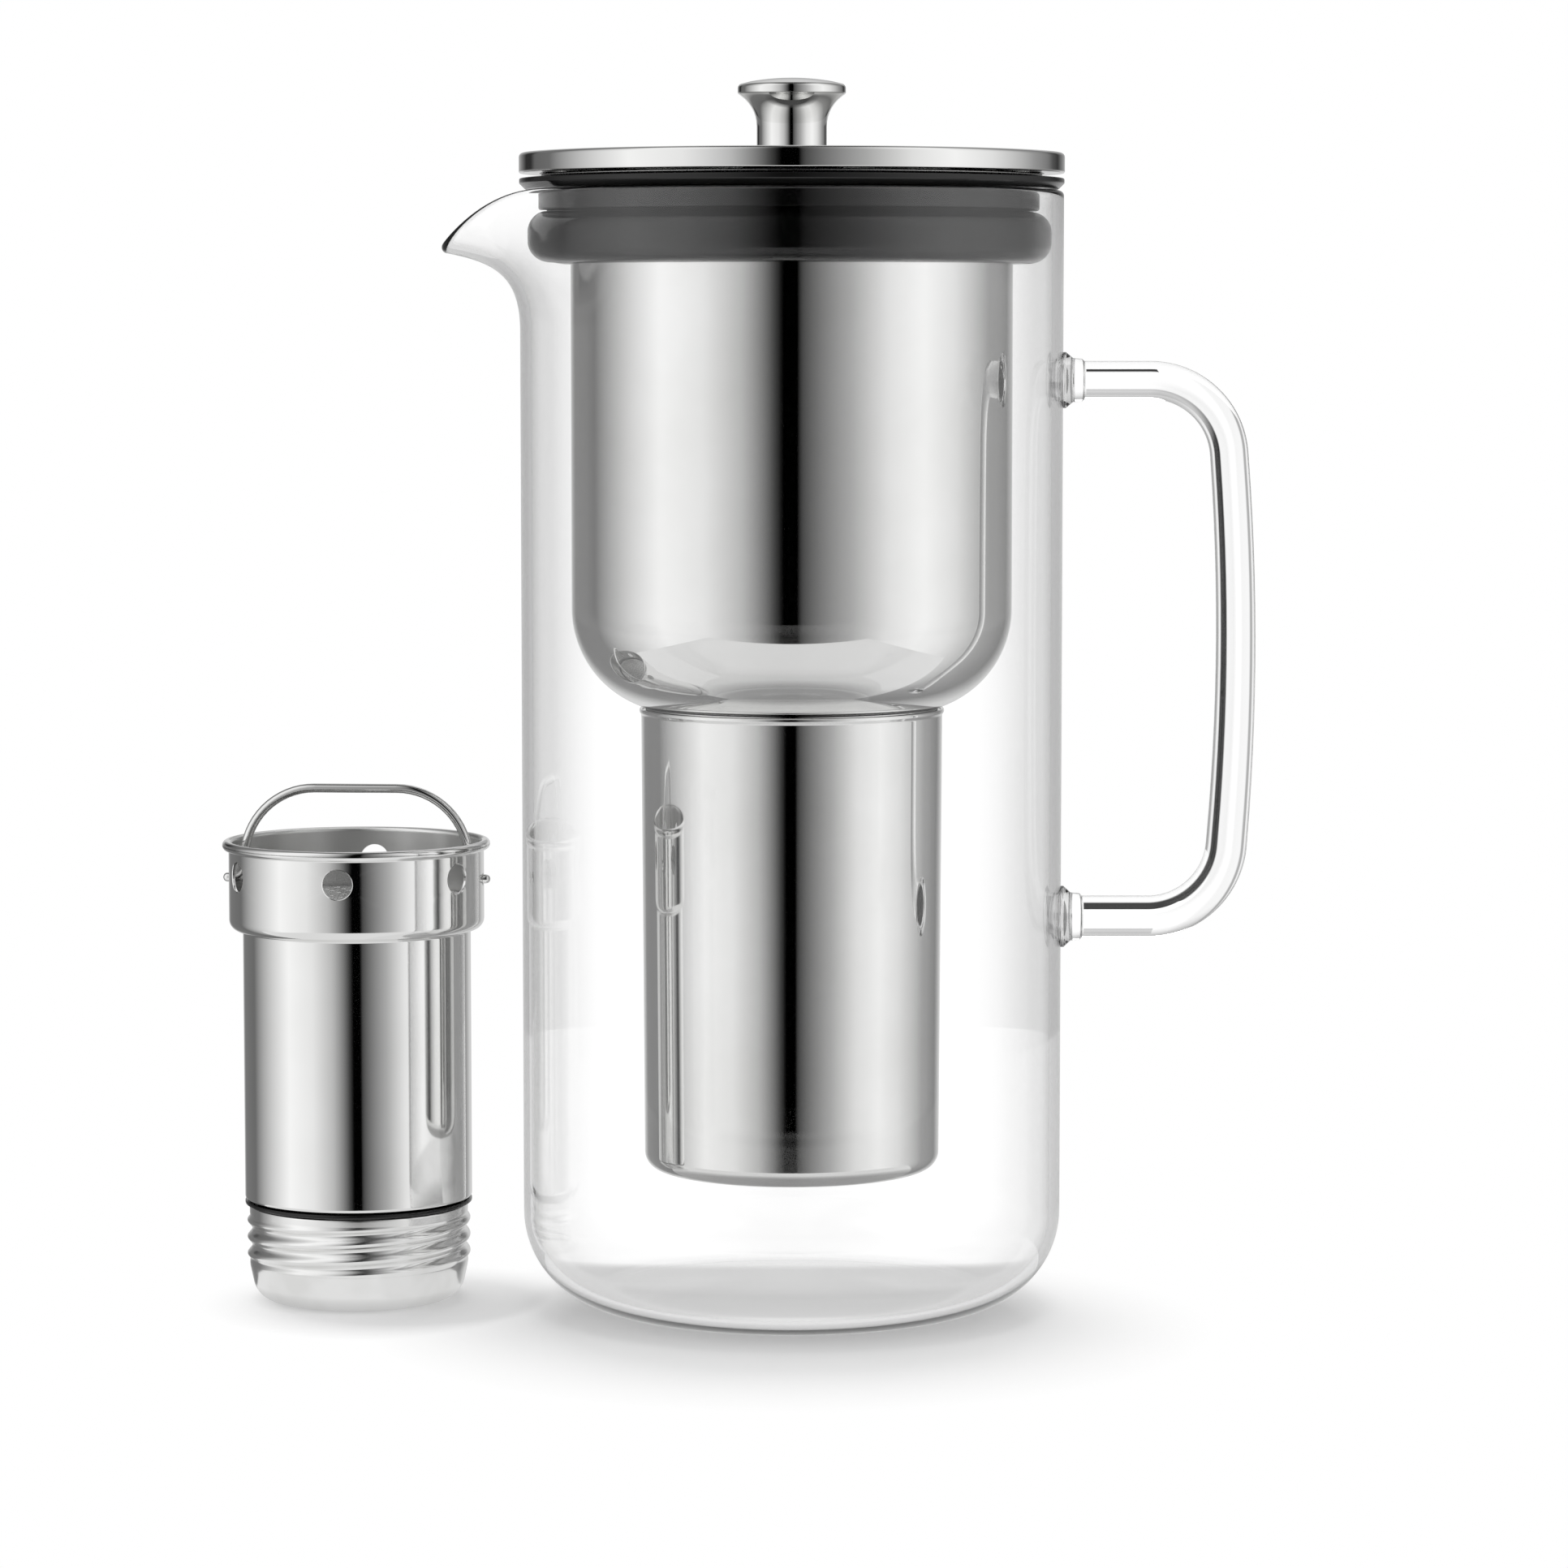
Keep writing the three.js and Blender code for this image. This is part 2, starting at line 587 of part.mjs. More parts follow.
function lidLiner() {
  const plate = collarTop + SEAT_GAP + LINER_SHEET;
  const ridgeOuter = bowlInside - LID_PLAY - LINER_SHEET;
  const ridgeInner = ridgeOuter - RIDGE_WIDTH;
  const ridgeFoot = plate - RIDGE_DEPTH;
  const hub = LINER_HUB / 2;
  const line = rounded([
    [SCREW_DIAMETER / 2 + SEAT_GAP, hubTop], [hub, hubTop], [hub + LINER_SLOPE, plate],
    [ridgeInner, plate], [ridgeInner, ridgeFoot, LINER_BEND],
    [ridgeOuter, ridgeFoot, LINER_BEND], [ridgeOuter, plate],
    [lidRadius - LID_HEM - SEAT_GAP, plate],
  ]);
  return turned(sheet(line, LINER_SHEET));
}

function lidKnob() {
  const stem = KNOB_STEM / 2;
  const head = KNOB_DIAMETER / 2;
  const crown = head / 2;
  const top = knobFoot + KNOB_HEIGHT;
  const edgeTop = top - KNOB_DOME;
  const edgeFoot = edgeTop - KNOB_EDGE;
  const domeRadius = (head ** 2 + KNOB_DOME ** 2) / (2 * KNOB_DOME);
  const domeAngle = Math.asin(head / domeRadius);
  const hole = SCREW_DIAMETER / 2 + SEAT_GAP;
  const holeTop = lidTop + SCREW_BITE + SCREW_RUNOUT;
  const outline = [
    ...arc(0, top - domeRadius, domeRadius, Math.PI / 2, Math.PI / 2 - domeAngle / 2),
    ...rounded([
      [crown, top], [head, edgeTop, KNOB_DOME], [head, edgeFoot, KNOB_EDGE / 3],
      [stem, edgeFoot - KNOB_FLARE, KNOB_FILLET], [stem, knobFoot],
    ]).slice(1),
    new THREE.Vector2(hole, knobFoot),
    new THREE.Vector2(hole, holeTop),
    new THREE.Vector2(0, holeTop),
  ];
  return turned(outline);
}

const washerTop = hubTop - LINER_SHEET - SEAT_GAP;
const screwHeadTop = washerTop - WASHER_THICKNESS - SEAT_GAP;

function lidScrew() {
  const shank = SCREW_DIAMETER / 2;
  const head = SCREW_HEAD / 2;
  const headFoot = screwHeadTop - SCREW_HEAD_HEIGHT;
  return turned(rounded([
    [0, headFoot], [head, headFoot, SCREW_HEAD_HEIGHT / 2], [head, screwHeadTop],
    [shank, screwHeadTop], [shank, lidTop + SCREW_BITE], [0, lidTop + SCREW_BITE],
  ], true), SMALL_ROUND);
}

function screwWasher() {
  const hole = SCREW_DIAMETER / 2 + SEAT_GAP;
  const edge = SCREW_HEAD / 2 + WASHER_BORDER;
  const foot = washerTop - WASHER_THICKNESS;
  const outline = rounded([[hole, foot], [edge, foot], [edge, washerTop], [hole, washerTop]], true);
  return turned(outline, SMALL_ROUND);
}

function cartridgeShell() {
  const stepInside = stepHeight + SHELL_WALL;
  const rim = collarRadius + RIM_REACH;
  const rimFoot = CARTRIDGE_HEIGHT - RIM_ROLL;
  const neckFoot = CAP_HEIGHT - NECK_LENGTH;
  const shoulderInside = shellFoot + SHELL_WALL;
  const can = turned(rounded([
    [neckRadius, neckFoot], [neckRadius, shellFoot], [shellRadius, shellFoot, SHELL_WALL],
    [shellRadius, stepHeight], [collarRadius, stepHeight, COLLAR_CORNER], [collarRadius, rimFoot],
    [rim, rimFoot, RIM_ROLL / 2], [rim, CARTRIDGE_HEIGHT, RIM_ROLL / 2],
    [collarInside, CARTRIDGE_HEIGHT, SHELL_WALL],
    [collarInside, stepInside, COLLAR_CORNER - SHELL_WALL], [shellInside, stepInside],
    [shellInside, shoulderInside], [neckInside, shoulderInside], [neckInside, neckFoot],
  ], true));
  return cut(can, [...inletCutters(), pinCutter()]);
}

// Inlet holes round the collar. A hole faces the front, and the bail's pins lie between two holes.
function inletCutters() {
  const drill = plug(INLET_DIAMETER / 2, shellInside, collarRadius + RIM_REACH, DRILL_FLATS);
  drill.rotateY(Math.PI / 2).translate(0, 0, CARTRIDGE_HEIGHT - INLET_BELOW_RIM);
  return Array.from({ length: INLET_HOLES }, (_, i) => (
    drill.clone().rotateZ((FULL_TURN * i) / INLET_HOLES - Math.PI / 2)
  ));
}

function pinCutter() {
  const span = pinReach + RIM_REACH;
  const drill = plug(BAIL_WIRE / 2 + SEAT_GAP, -span, span, DRILL_FLATS);
  return drill.rotateY(Math.PI / 2).translate(0, 0, pinHeight);
}

// Holes in rings round the middle of a strainer, as many as the pitch allows.
function strainerCutters(limit, low, high) {
  const drill = plug(STRAINER_HOLE / 2, low, high, SIEVE_FLATS);
  const cutters = [drill];
  for (let ring = STRAINER_PITCH; ring + STRAINER_HOLE <= limit; ring += STRAINER_PITCH) {
    const count = Math.floor((FULL_TURN * ring) / STRAINER_PITCH);
    for (let i = 0; i < count; i += 1) {
      const angle = (FULL_TURN * i) / count;
      cutters.push(drill.clone().translate(ring * Math.cos(angle), ring * Math.sin(angle), 0));
    }
  }
  return cutters;
}

function topStrainer() {
  const seat = stepHeight + SHELL_WALL + SEAT_GAP;
  const edge = collarInside - COLLAR_CORNER + SHELL_WALL;
  const top = stepHeight + SHELL_WALL + PAN_HEIGHT;
  const line = rounded([[0, top], [edge, top, 2 * STRAINER_SHEET], [edge, seat]]);
  return cut(turned(sheet(line, STRAINER_SHEET)), strainerCutters(edge, seat, top + STRAINER_SHEET));
}

function capStrainer() {
  const foot = CAP_WALL + SEAT_GAP;
  const edge = capRadius - CAP_TAPER - CAP_CORNER;
  const top = foot + STRAINER_SHEET;
  const disc = turned(rounded([[0, foot], [edge, foot], [edge, top], [0, top]], true));
  return cut(disc, strainerCutters(edge, 0, top + STRAINER_SHEET));
}

function capGasket() {
  const foot = CAP_HEIGHT + SEAT_GAP;
  const inner = neckRadius + SEAT_GAP;
  const top = foot + GASKET_THICKNESS;
  return turned(rounded([[inner, foot], [shellRadius, foot], [shellRadius, top], [inner, top]], true));
}

// How far the rolled thread swells or sinks the cap's wall. It fades out at both ends.
function threadSwell(height, azimuth) {
  const fade = THREAD_PITCH / 4;
  const rise = THREE.MathUtils.smoothstep(height, CAP_SHOULDER - 2 * fade, CAP_SHOULDER + fade);
  const top = CAP_HEIGHT - CAP_BAND;
  const fall = THREE.MathUtils.smoothstep(height, top - 2 * fade, top);
  const phase = (FULL_TURN * (height - THREAD_CREST)) / THREAD_PITCH - THREAD_STARTS * azimuth;
  return (THREAD_DEPTH / 2) * rise * (1 - fall) * Math.cos(phase);
}

function cartridgeCap() {
  const foot = capRadius - CAP_TAPER;
  const footInside = Math.min(foot - CAP_WALL, capInside);
  const threadRows = Math.ceil(((CAP_HEIGHT - CAP_SHOULDER) / THREAD_PITCH) * THREAD_ROWS);
  const wall = Array.from({ length: threadRows + 1 }, (_, i) => (
    new THREE.Vector2(capRadius, THREE.MathUtils.lerp(CAP_SHOULDER, CAP_HEIGHT, i / threadRows))
  ));
  const outer = [
    ...rounded([[0, 0], [foot, 0, CAP_CORNER], [capRadius, CAP_SHOULDER]]).slice(0, -1),
    ...wall,
  ];
  const inner = rounded([
    [capInside, CAP_HEIGHT], [capInside, CAP_SHOULDER],
    [footInside, CAP_WALL, CAP_CORNER - CAP_WALL], [0, CAP_WALL],
  ]);
  const swollen = (point) => (azimuth) => (
    turnedRow(new THREE.Vector2(point.x + threadSwell(point.y, azimuth), point.y))(azimuth)
  );
  const azimuths = Array.from({ length: ROUND }, (_, i) => (FULL_TURN * i) / ROUND);
  const cup = skin([...outer.map(swollen), ...inner.map(turnedRow)], azimuths);
  return cut(cup, strainerCutters(STRAINER_PITCH + STRAINER_HOLE, -CAP_WALL, 2 * CAP_WALL));
}

function filterGranules() {
  const neck = neckInside - SEAT_GAP;
  const body = shellInside - SEAT_GAP;
  const shoulder = shellFoot + SHELL_WALL + SEAT_GAP;
  return turned(rounded([
    [0, BED_FOOT], [neck, BED_FOOT, SHELL_WALL], [neck, shoulder], [body, shoulder],
    [body, stepHeight, SHELL_WALL], [0, stepHeight],
  ], true), SMALL_ROUND);
}

function bailHandle() {
  const leg = collarInside - BAIL_INSET - BAIL_WIRE / 2;
  const top = pinHeight + BAIL_RISE;
  const path = uprightPath([
    [-pinReach, pinHeight], [-leg, pinHeight, PIN_BEND], [-leg, top, BAIL_BEND],
    [leg, top, BAIL_BEND], [leg, pinHeight, PIN_BEND], [pinReach, pinHeight],
  ]);
  return rod(path, BAIL_WIRE, WIRE_SIDES, BAIL_STEPS);
}

const jug = new THREE.Group();
jug.add(piece('glass_jug', glassJug(), glass()));
jug.add(piece('glass_handle', glassHandle(), glass()));

const funnel = new THREE.Group();
funnel.add(piece('mouth_collar', mouthCollar(), blackPlastic()));
funnel.add(piece('wiper_seal', wiperSeal(), blackSilicone()));
funnel.add(piece('funnel_bowl', funnelBowl(), polishedSteel()));
funnel.add(piece('filter_tube', filterTube(), polishedSteel()));
funnel.add(piece('outlet_seal', outletSeal(), greySilicone()));

const lid = new THREE.Group();
lid.add(piece('lid_shell', lidShell(), polishedSteel()));
lid.add(piece('lid_liner', lidLiner(), satinSteel()));
lid.add(piece('lid_knob', lidKnob(), polishedSteel()));
lid.add(piece('lid_screw', lidScrew(), satinSteel()));
lid.add(piece('screw_washer', screwWasher(), blackSilicone()));

const cartridge = new THREE.Group();
cartridge.position.set(-(jugRadius + CARTRIDGE_GAP + pinReach), CARTRIDGE_BACK, 0);
cartridge.rotation.z = THREE.MathUtils.degToRad(CARTRIDGE_TURN);
cartridge.add(piece('cartridge_shell', cartridgeShell(), polishedSteel()));
cartridge.add(piece('top_strainer', topStrainer(), satinSteel()));
cartridge.add(piece('filter_granules', filterGranules(), charcoal()));
cartridge.add(piece('bail_handle', bailHandle(), polishedSteel()));
cartridge.add(piece('cap_gasket', capGasket(), blackSilicone()));
cartridge.add(piece('cartridge_cap', cartridgeCap(), satinSteel()));
cartridge.add(piece('cap_strainer', capStrainer(), satinSteel()));

const pitcher = new THREE.Group();
pitcher.add(jug, funnel, lid, cartridge);

export default pitcher;
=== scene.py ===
# %% [markdown]
# # A glass water filter pitcher with its refillable cartridge
#
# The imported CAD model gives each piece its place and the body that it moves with. This lesson
# keeps that frame and dresses it. Each faceted CAD piece is replaced by a smooth surface that
# numpy works out from a formula, and each surface gets a procedural finish. The formulas are in
# millimetres, on the CAD model's own axes: +Z up, the handle along +X, the spout along -X, the
# viewer on the -Y side.

# %% Load the frame
import bmesh
import bpy
import numpy as np
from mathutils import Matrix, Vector


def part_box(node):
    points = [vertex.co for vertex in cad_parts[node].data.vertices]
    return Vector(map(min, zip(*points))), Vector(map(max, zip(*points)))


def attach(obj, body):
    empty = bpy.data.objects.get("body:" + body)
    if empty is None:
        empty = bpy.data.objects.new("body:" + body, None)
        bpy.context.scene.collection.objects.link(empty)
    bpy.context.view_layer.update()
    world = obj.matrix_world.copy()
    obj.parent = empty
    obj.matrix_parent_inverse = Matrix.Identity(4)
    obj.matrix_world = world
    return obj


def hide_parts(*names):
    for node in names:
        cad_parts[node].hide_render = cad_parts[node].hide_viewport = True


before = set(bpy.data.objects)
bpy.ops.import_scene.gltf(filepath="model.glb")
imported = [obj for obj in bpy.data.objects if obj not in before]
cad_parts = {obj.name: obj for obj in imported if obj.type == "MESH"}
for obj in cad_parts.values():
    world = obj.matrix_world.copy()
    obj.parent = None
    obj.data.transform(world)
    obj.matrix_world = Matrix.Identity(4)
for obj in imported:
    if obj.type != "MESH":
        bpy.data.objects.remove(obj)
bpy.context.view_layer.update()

MM = 0.001

# %% [markdown]
# ## Lines with rounded corners
#
# Spun, pressed and turned pieces have no sharp corners: every bend has a radius, and that radius
# is where the light shows. So a section is written as corners with a radius each, and a helper
# puts the arcs in. Beside each arc it keeps a short stretch of the straight side. Smooth shading
# blends the normals of neighbouring faces, and this stretch keeps the flat side flat.

# %% Rounded lines and sheet sections
KEEP_SHARE, KEEP_MOST = 0.2, 0.25


def soft_line(corners, closed=False, per_quarter=10):
    """Points along a line whose corners (x, y, radius) are replaced by arcs.

    An arc touches both sides at radius / tan(half the corner's angle) from the corner, and its
    centre lies radius / sin(half the angle) from the corner, along the bisector.
    """
    corners = np.array([(*c, 0)[:3] for c in corners], float)
    count, parts = len(corners), []
    for i, (x, y, radius) in enumerate(corners):
        here = np.array([x, y])
        if radius == 0 or (not closed and i in (0, count - 1)):
            parts.append(here[None])
            continue
        sides = np.array([corners[i - 1, :2], corners[(i + 1) % count, :2]]) - here
        lengths = np.linalg.norm(sides, axis=1)
        back, ahead = sides / lengths[:, None]
        half = np.arccos(np.clip(back @ ahead, -1, 1)) / 2
        reach = radius / np.tan(half)
        middle = (back + ahead) / np.linalg.norm(back + ahead)
        centre = here + middle * radius / np.sin(half)
        start = here + back * reach - centre
        turn = (np.pi - 2 * half) * np.sign(ahead[0] * back[1] - ahead[1] * back[0])
        a = np.linspace(0, turn, max(3, int(np.ceil(abs(turn) * per_quarter * 2 / np.pi)) + 1))
        c, s = np.cos(a), np.sin(a)
        arc = centre + np.stack([c * start[0] - s * start[1], s * start[0] + c * start[1]], 1)
        keep = reach + np.clip((lengths - reach) * KEEP_SHARE, 0, KEEP_MOST)
        parts += [(here + back * keep[0])[None], arc, (here + ahead * keep[1])[None]]
    return np.vstack(parts)


def sheet_section(line, thickness):
    """The closed section of a sheet: the line, the same line set over to its right by the
    thickness, and a half circle round each free edge. The edges end where the line ends."""
    line = line.copy()
    along = np.diff(line, axis=0)
    along /= np.linalg.norm(along, axis=1, keepdims=True)
    line[0] += along[0] * thickness / 2
    line[-1] -= along[-1] * thickness / 2
    right = np.stack([along[:, 1], -along[:, 0]], 1)
    before, after = np.vstack([right[:1], right]), np.vstack([right, right[-1:]])
    other = line + (before + after) * thickness / (1 + (before * after).sum(1, keepdims=True))
    a = np.linspace(0, np.pi, 9)[1:-1, None]

    def round_edge(start, end, outwards):
        arm = (start - end) / 2
        return (start + end) / 2 + np.cos(a) * arm + np.sin(a) * outwards * thickness / 2

    return np.vstack([line, round_edge(line[-1], other[-1], along[-1]),
                      other[::-1], round_edge(other[0], line[0], -along[0])])


print("a 2 mm corner takes", len(soft_line([(0, 0), (9, 0, 2), (9, 9)])), "points")

# %% [markdown]
# ## From grids of points to pieces
#
# Every surface here is a grid: rows along the section and columns round the axis. Faces join
# neighbours in the grid, so their indices come from one array and no loop visits a vertex.
# Grids that share their edges are welded into one closed mesh, and the piece is then handed to
# the frame: it rides on a body, stands for its CAD node and names its material slot.

# %% Grids and pieces
WELD_GAP, SHARP_ANGLE = 0.002 * MM, np.radians(38)


def azimuths(columns):
    """Even angles once round the axis."""
    return np.arange(columns) * 2 * np.pi / columns


def polar(r, a, z):
    """P = (r cos a, r sin a, z)."""
    return np.stack(np.broadcast_arrays(r * np.cos(a), r * np.sin(a), z), -1)


def turned(line, columns=192):
    """P(i, j) = polar(r_i, a_j, z_i) for the line's points (r, z)."""
    return polar(line[:, :1], azimuths(columns), line[:, 1:])


def grid_faces(shape, wrap_rows, wrap_columns, first):
    """Four-cornered faces between neighbours of a grid, whose points are numbered from first."""
    index = first + np.arange(shape[0] * shape[1]).reshape(shape[:2])
    index = np.vstack([index, index[:1]]) if wrap_rows else index
    index = np.hstack([index, index[:, :1]]) if wrap_columns else index
    faces = [index[:-1, :-1], index[:-1, 1:], index[1:, 1:], index[1:, :-1]]
    return np.stack(faces, -1).reshape(-1, 4)


def weld(mesh):
    """Merges the points that grids share, closes the poles and turns the faces outwards."""
    work = bmesh.new()
    work.from_mesh(mesh)
    bmesh.ops.remove_doubles(work, verts=work.verts, dist=WELD_GAP)
    bmesh.ops.recalc_face_normals(work, faces=work.faces)
    open_edges = sum(not edge.is_manifold for edge in work.edges)
    work.to_mesh(mesh)
    work.free()
    return open_edges


def add_mesh(name, points, faces, material):
    """A welded mesh object in the scene, and how many of its edges are open."""
    mesh = bpy.data.meshes.new(name)
    mesh.from_pydata(points.tolist(), [], faces.tolist())
    open_edges = weld(mesh)
    mesh.materials.append(material)
    piece = bpy.data.objects.new(name, mesh)
    bpy.context.scene.collection.objects.link(piece)
    return piece, open_edges


def make_piece(name, grids, body, cad_node, material):
    """One mesh in metres from (points, wrap_rows, wrap_columns) grids, for its CAD node."""
    points = np.vstack([grid[0].reshape(-1, 3) for grid in grids]) * MM
    firsts = np.cumsum([0] + [grid[0].size // 3 for grid in grids])
    faces = np.vstack([
        grid_faces(grid[0].shape, *grid[1:], first) for grid, first in zip(grids, firsts)])
    piece, open_edges = add_mesh(name, points, faces, material)
    mesh = piece.data
    mesh.shade_smooth()
    mesh.set_sharp_from_angle(angle=SHARP_ANGLE)
    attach(piece, body)
    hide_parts(cad_node)
    size, cad = [np.ptp(corners, axis=0) / MM for corners in (points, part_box(cad_node))]
    print(f"{name}: {len(mesh.polygons)} faces, {np.round(size, 1)} mm (CAD {np.round(cad, 1)}),",
          f"{open_edges} open edges")


print("a ring of 3 by 8 points has", len(grid_faces((3, 8), False, True, 0)), "faces")

# %% [markdown]
# ## Finishes
#
# The pitcher has few materials, all of them smooth, so their character lies in small
# differences: steel polished to a mirror still has faint smears and lines round its axis, moulded
# plastic has a fine grain, and drawn glass is not quite flat. Each finish is a Principled shader
# whose roughness, tone and bump come from noise on Object coordinates. Values that are the same
# all over sit on the shader's own sockets.

# %% Node helpers
def node(tree, kind, inputs=None, **settings):
    """Adds a node. An input that is given as a socket is linked, and any other value is set."""
    made = tree.nodes.new(kind)
    for key, value in settings.items():
        setattr(made, key, value)
    for key, value in (inputs or {}).items():
        if isinstance(value, bpy.types.NodeSocket):
            tree.links.new(value, made.inputs[key])
        else:
            made.inputs[key].default_value = value
    return made


def calculate(tree, operation, first, second=0.0):
    """The output of one Math node."""
    return node(tree, "ShaderNodeMath", {0: first, 1: second}, operation=operation).outputs[0]


def times(tree, first, second):
    """The product of two values."""
    return calculate(tree, "MULTIPLY", first, second)


def is_over(tree, value, bound):
    """1 where a value is larger than a bound."""
    return calculate(tree, "GREATER_THAN", value, bound)


def is_under(tree, value, bound):
    """1 where a value is smaller than a bound."""
    return calculate(tree, "LESS_THAN", value, bound)


def ease(tree, value, low, high, first=0.0, last=1.0):
    """A value that goes from first to last while another goes from low to high."""
    return node(tree, "ShaderNodeMapRange", {
        "Value": value, "From Min": low, "From Max": high, "To Min": first, "To Max": last,
    }).outputs[0]


def distance(tree, place, centre=(0, 0, 0)):
    """How far a point lies from a centre."""
    return node(tree, "ShaderNodeVectorMath", {0: place, 1: centre},
                operation="DISTANCE").outputs["Value"]


def axes(tree, vector):
    """The X, Y and Z of a vector."""
    return node(tree, "ShaderNodeSeparateXYZ", {"Vector": vector}).outputs


# %% Finish helpers
def start_finish(name, **sockets):
    """A material with one Principled shader, and the Object coordinates that its patterns read."""
    material = bpy.data.materials.new(name)
    material.use_nodes = True
    tree = material.node_tree
    shader = tree.nodes["Principled BSDF"]
    for key, value in sockets.items():
        shader.inputs[key.replace("_", " ")].default_value = value
    return material, tree, shader, node(tree, "ShaderNodeTexCoord").outputs["Object"]


def noise(tree, coords, scale, detail=3.0, stretch=(1, 1, 1)):
    """Noise with about `scale` lumps for each metre, stretched by a Mapping node."""
    mapped = node(tree, "ShaderNodeMapping", {"Vector": coords, "Scale": stretch})
    return node(tree, "ShaderNodeTexNoise", {
        "Vector": mapped.outputs[0], "Scale": scale, "Detail": detail}).outputs[0]


def spread(tree, value, low, high):
    """The middle of a noise, from 0.3 to 0.7, mapped to a range."""
    return ease(tree, value, 0.3, 0.7, low, high)


def tones(tree, value, dark, light):
    """A colour between two tones, by a noise."""
    ramp = node(tree, "ShaderNodeValToRGB", {"Fac": value})
    for element, place, tone in zip(ramp.color_ramp.elements, (0.35, 0.65), (dark, light)):
        element.position, element.color = place, (*tone, 1)
    return ramp.outputs[0]


def dress(tree, shader, tone, rough):
    """Links a tone and a roughness to the shader."""
    tree.links.new(tone, shader.inputs["Base Color"])
    tree.links.new(rough, shader.inputs["Roughness"])


def bump(tree, shader, height, strength, depth):
    """Tilts the normal by a height pattern of that depth in millimetres."""
    made = node(tree, "ShaderNodeBump", {
        "Height": height, "Strength": strength, "Distance": depth * MM})
    tree.links.new(made.outputs[0], shader.inputs["Normal"])


# %% Steel finishes
CARTRIDGE_AT, CARTRIDGE_TURN = np.array([-105.7, 6.0, 0.0]), np.radians(-4)
SMEARS, WHEEL_LINES, ROLLED_GRAIN = 22, (30, 30, 2600), (3200, 90, 90)
SATIN_WITHIN, SATIN_ABOVE, SATIN_ROUGH = 30.5, 92.5, 0.3


def polished_steel(name, rough):
    """Mirror polish: low roughness with smears, and hair lines round the axis from the wheel."""
    material, tree, shader, at = start_finish(name, Metallic=1.0)
    smears = noise(tree, at, SMEARS, 4)
    tone = tones(tree, smears, (0.83, 0.83, 0.82), (0.89, 0.89, 0.885))
    dress(tree, shader, tone, spread(tree, smears, *rough))
    bump(tree, shader, noise(tree, at, 1, 2, WHEEL_LINES), 0.04, 0.01)
    return material, tree, shader, at


def can_steel():
    """Polished outside, and left satin in the can's mouth: nearer to its axis than its skin."""
    material, tree, shader, at = polished_steel("can_steel", (0.03, 0.06))
    x, y, z = axes(tree, at)
    flat = node(tree, "ShaderNodeCombineXYZ", {"X": x, "Y": y}).outputs[0]
    within = is_under(tree, distance(tree, flat, CARTRIDGE_AT * MM), SATIN_WITHIN * MM)
    satin = times(tree, within, is_over(tree, z, SATIN_ABOVE * MM))
    polish = shader.inputs["Roughness"].links[0].from_socket
    rough = node(tree, "ShaderNodeMix", {"Factor": satin, "A": polish, "B": SATIN_ROUGH})
    tree.links.new(rough.outputs[0], shader.inputs["Roughness"])
    return material


def spun_steel():
    """Spun and less polished: broad, uneven facets from the rolling break up reflections."""
    material, tree, shader, at = start_finish("spun_steel", Metallic=1.0)
    patches = noise(tree, at, 90, 2)
    tone = tones(tree, patches, (0.84, 0.84, 0.83), (0.92, 0.92, 0.915))
    dress(tree, shader, tone, spread(tree, noise(tree, at, 160, 4), 0.14, 0.22))
    bump(tree, shader, patches, 0.1, 0.15)
    return material


def pressed_steel():
    """Satin sheet: a fine rolled grain along one direction."""
    material, tree, shader, at = start_finish("pressed_steel", Metallic=1.0)
    grain = noise(tree, at, 1, 2, ROLLED_GRAIN)
    tone = tones(tree, noise(tree, at, 40), (0.66, 0.66, 0.65), (0.74, 0.74, 0.735))
    dress(tree, shader, tone, spread(tree, grain, 0.22, 0.36))
    bump(tree, shader, grain, 0.08, 0.02)
    return material


POLISHED_STEEL, SPUN_STEEL = polished_steel("mirror_steel", (0.02, 0.05))[0], spun_steel()
PRESSED_STEEL, CAN_STEEL = pressed_steel(), can_steel()
print("steel finishes:", POLISHED_STEEL.name, SPUN_STEEL.name, PRESSED_STEEL.name, CAN_STEEL.name)

# %% Glass, plastic, silicone and carbon finishes
def clear_glass():
    """Borosilicate glass. Drawn tube has faint upright waves, so the bump is stretched."""
    material, tree, shader, at = start_finish(
        "clear_glass", Transmission_Weight=1.0, IOR=1.473, Base_Color=(1, 1, 1, 1))
    tree.links.new(spread(tree, noise(tree, at, 60, 2), 0.0, 0.012), shader.inputs["Roughness"])
    bump(tree, shader, noise(tree, at, 28, 1, (1, 1, 0.15)), 0.05, 0.2)
    return material


def moulded(name, dark, light, rough, grain, depth):
    """Moulded plastic or silicone: an even tone with faint clouds, and the mould's fine grain."""
    material, tree, shader, at = start_finish(name, IOR=1.46)
    clouds = noise(tree, at, 35)
    dress(tree, shader, tones(tree, clouds, dark, light), spread(tree, clouds, *rough))
    bump(tree, shader, noise(tree, at, grain, 2), 0.1, depth)
    return material


CLEAR_GLASS = clear_glass()
BLACK_PLASTIC = moulded("collar_plastic", (0.004,) * 3, (0.006,) * 3, (0.14, 0.19), 2600, 0.0005)
BLACK_SILICONE = moulded("seal_silicone", (0.003,) * 3, (0.005,) * 3, (0.12, 0.17), 1800, 0.0005)
GREY_SILICONE = moulded("grey_silicone", (0.30,) * 3, (0.36,) * 3, (0.45, 0.55), 1800, 0.02)
CARBON = moulded("carbon_granules", (0.012, 0.011, 0.01), (0.05, 0.045, 0.04), (0.6, 0.9),
                 1500, 0.3)
print("other finishes:", CLEAR_GLASS.name, BLACK_PLASTIC.name, BLACK_SILICONE.name)

